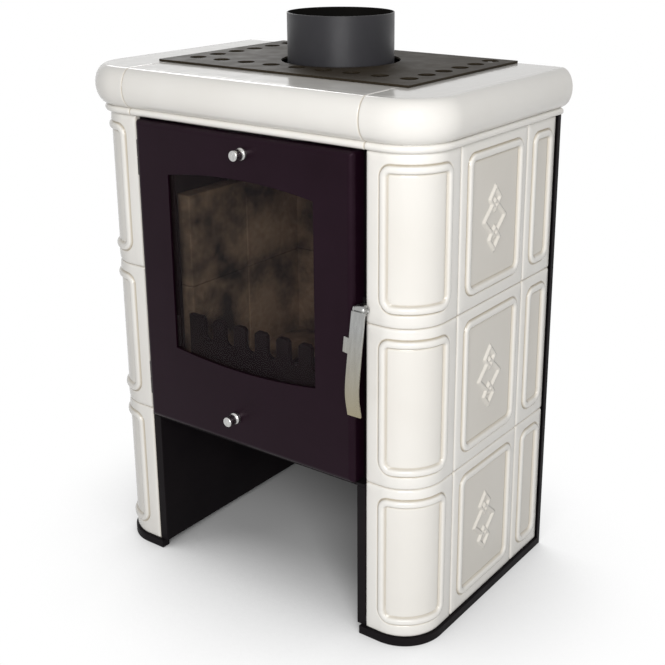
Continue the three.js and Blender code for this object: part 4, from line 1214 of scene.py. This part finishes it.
# ---- fire side
CRENEL_COUNT = 6
CRENEL_PITCH = 38.6 * MM
CRENEL_HALF = 8.5 * MM  # half the width of a notch, and the radius of its floor
CRENEL_BEVEL = 4 * MM
CRENEL_DEPTH = 26 * MM  # down to the middle of the round floor


def make_log_retainer():
    """A cast bar with round-floored notches along its upper edge."""
    low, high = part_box("log_retainer")
    half = CRENEL_HALF
    shoulder = high.z - CRENEL_BEVEL
    outline = [(low.x, low.z), (high.x, low.z), (high.x, high.z)]
    for i in reversed(range(CRENEL_COUNT)):
        x = (i - (CRENEL_COUNT - 1) / 2) * CRENEL_PITCH
        outline += [(x + half + CRENEL_BEVEL, high.z), (x + half, shoulder)]
        outline += arc(x, high.z - CRENEL_DEPTH, half, 0, -180, 8)
        outline += [(x - half, shoulder), (x - half - CRENEL_BEVEL, high.z)]
    outline.append((low.x, high.z))
    piece = punched(
        "log_retainer_cast", outline, [], high.y - low.y, 0.8 * MM, lambda a, b, depth: (a, low.y + depth, b)
    )
    settle(piece, IRON, "casing", ["log_retainer"])


make_log_retainer()
BRICK_JOINT = 0.8 * MM
BRICK_EDGE = 1.8 * MM


def make_lining(name, across, columns, rows):
    """A slab of firebrick shown as separate bricks with narrow joints and worn edges."""
    low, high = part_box(name)
    work = bmesh.new()
    start, end = (low.x, high.x) if across == "x" else (low.y, high.y)
    wide = (end - start) / columns
    tall = (high.z - low.z) / rows
    for i in range(columns):
        for j in range(rows):
            a, b = start + i * wide, start + (i + 1) * wide - BRICK_JOINT
            z0, z1 = low.z + j * tall, low.z + (j + 1) * tall - BRICK_JOINT
            if across == "x":
                add_block(work, (a, low.y, z0), (b, high.y, z1))
            else:
                add_block(work, (low.x, a, z0), (high.x, b, z1))
    piece = soften(piece_from_bmesh(name + "_bricks", work), BRICK_EDGE, 3)
    settle(piece, CHAMOTTE, "casing", [name])


make_lining("firebrick_left", "y", 2, 2)
make_lining("firebrick_right", "y", 2, 2)
make_lining("firebrick_back", "x", 3, 2)


def dress_node(name, look):
    """A solid whose own shape is right gets its finish."""
    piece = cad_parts[name]
    piece.data.materials.clear()
    piece.data.materials.append(look)


DRESSED = [
    (BLACK, "black_steel", "firebox_shelf firebox_front firebox_left firebox_right firebox_back"),
    (BLACK, "black_steel", "firebox_roof hearth_plate air_damper_upper air_damper_lower"),
    (ZINC, "galvanised", "tile_shield_left tile_shield_right ash_pan glass_clip_left glass_clip_right"),
    (CHAMOTTE, "chamotte", "hearth_floor baffle"),
    (IRON, "cast_iron", "grate"),
    (STEEL, "brushed_steel", "latch_nose"),
]
for dressed_look, dressed_slot, dressed_names in DRESSED:
    for dressed_name in dressed_names.split():
        dress_node(dressed_name, dressed_look)


# ---- studio
FLOOR_REACH = 14  # metres from the middle to each edge
FLOOR_MATTE = (0.55, 0.55, 0.55, 1)
WHITE = (1, 1, 1, 1)
SHADOW_REACH = 0.4
SHADOW_RANGE = (0.2, 0.85)  # share of open sky from dark shadow to plain white
WORLD_LIGHT = 0.15


def white_share(mat):
    """1 for camera, glossy and transmission rays, and 0 for the light on the object."""
    path = node(mat, "ShaderNodeLightPath").outputs
    seen = calculate(mat, "MAXIMUM", path["Is Camera Ray"], path["Is Glossy Ray"])
    return calculate(mat, "MAXIMUM", seen, path["Is Transmission Ray"])


def make_floor_finish():
    """White as seen, but matte and shaded close to the object."""
    mat = bpy.data.materials.new("floor_pale")
    mat.use_nodes = True
    mat.node_tree.nodes.clear()
    out = node(mat, "ShaderNodeOutputMaterial")
    matte = node(mat, "ShaderNodeBsdfDiffuse", Color=FLOOR_MATTE)
    lit = node(mat, "ShaderNodeEmission", Color=WHITE, Strength=1.0)
    open_sky = node(mat, "ShaderNodeAmbientOcclusion", Distance=SHADOW_REACH)
    lightness = spread(mat, open_sky.outputs["AO"], *SHADOW_RANGE)
    share = calculate(mat, "MULTIPLY", white_share(mat), lightness)
    mix = node(mat, "ShaderNodeMixShader", Fac=share)
    supply(mat, mix.inputs[1], matte.outputs["BSDF"])
    supply(mat, mix.inputs[2], lit.outputs["Emission"])
    feed(mat, out, Surface=mix.outputs["Shader"])
    return mat


def make_floor():
    mesh = bpy.data.meshes.new("studio_floor")
    far = FLOOR_REACH
    mesh.from_pydata([(-far, -far, 0), (far, -far, 0), (far, far, 0), (-far, far, 0)], [], [(0, 1, 2, 3)])
    mesh.materials.append(make_floor_finish())
    add_object("studio_floor", mesh)


def make_world():
    world = bpy.data.worlds.new("studio")
    bpy.context.scene.world = world
    world.use_nodes = True
    shown = calculate(world, "MULTIPLY", white_share(world), 1 - WORLD_LIGHT)
    light = calculate(world, "ADD", shown, WORLD_LIGHT)
    feed(world, world.node_tree.nodes["Background"], Color=WHITE, Strength=light)


def make_lamp(name, place, target, size, power):
    lamp = bpy.data.lights.new(name, "AREA")
    lamp.shape = "RECTANGLE"
    lamp.size, lamp.size_y = size
    lamp.energy = power
    holder = add_object(name, lamp)
    holder.location = place
    holder.rotation_euler = (Vector(target) - Vector(place)).to_track_quat("-Z", "Y").to_euler()


# camera fitted to the photograph, in metres and in pixels of the photograph's 665 x 665 frame,
# with a vertical shift that leaves room for views from other sides
FRAME_PIXELS = 665
FOCAL_PIXELS = 1146.9
CENTRE_X, CENTRE_Y = 364.3, 265.0
AZIMUTH, ELEVATION = math.radians(35.48), math.radians(17.64)
CAMERA_PLACE = (0.9699, -1.0894 + FACE_Y, 0.9532)
SENSOR = 36.0


def make_camera():
    lens = bpy.data.cameras.new("camera")
    lens.sensor_width = SENSOR
    lens.lens = FOCAL_PIXELS * SENSOR / FRAME_PIXELS
    lens.shift_x = (FRAME_PIXELS / 2 - CENTRE_X) / FRAME_PIXELS
    lens.shift_y = (CENTRE_Y - FRAME_PIXELS / 2) / FRAME_PIXELS
    lens.clip_start = 0.05
    holder = add_object("camera", lens)
    holder.location = CAMERA_PLACE
    looking = Vector((
        -math.sin(AZIMUTH) * math.cos(ELEVATION),
        math.cos(AZIMUTH) * math.cos(ELEVATION),
        -math.sin(ELEVATION),
    ))
    holder.rotation_euler = looking.to_track_quat("-Z", "Y").to_euler()
    bpy.context.scene.camera = holder


make_floor()
make_world()
make_lamp("key", (1.6, -2.15, 1.45), (0.1, 0, 0.45), (1.6, 1.6), 76)
make_lamp("back", (-1.9, 1.5, 2.0), (0, 0, 0.4), (1.0, 1.2), 20)
make_camera()
bpy.context.scene.view_settings.view_transform = "Standard"
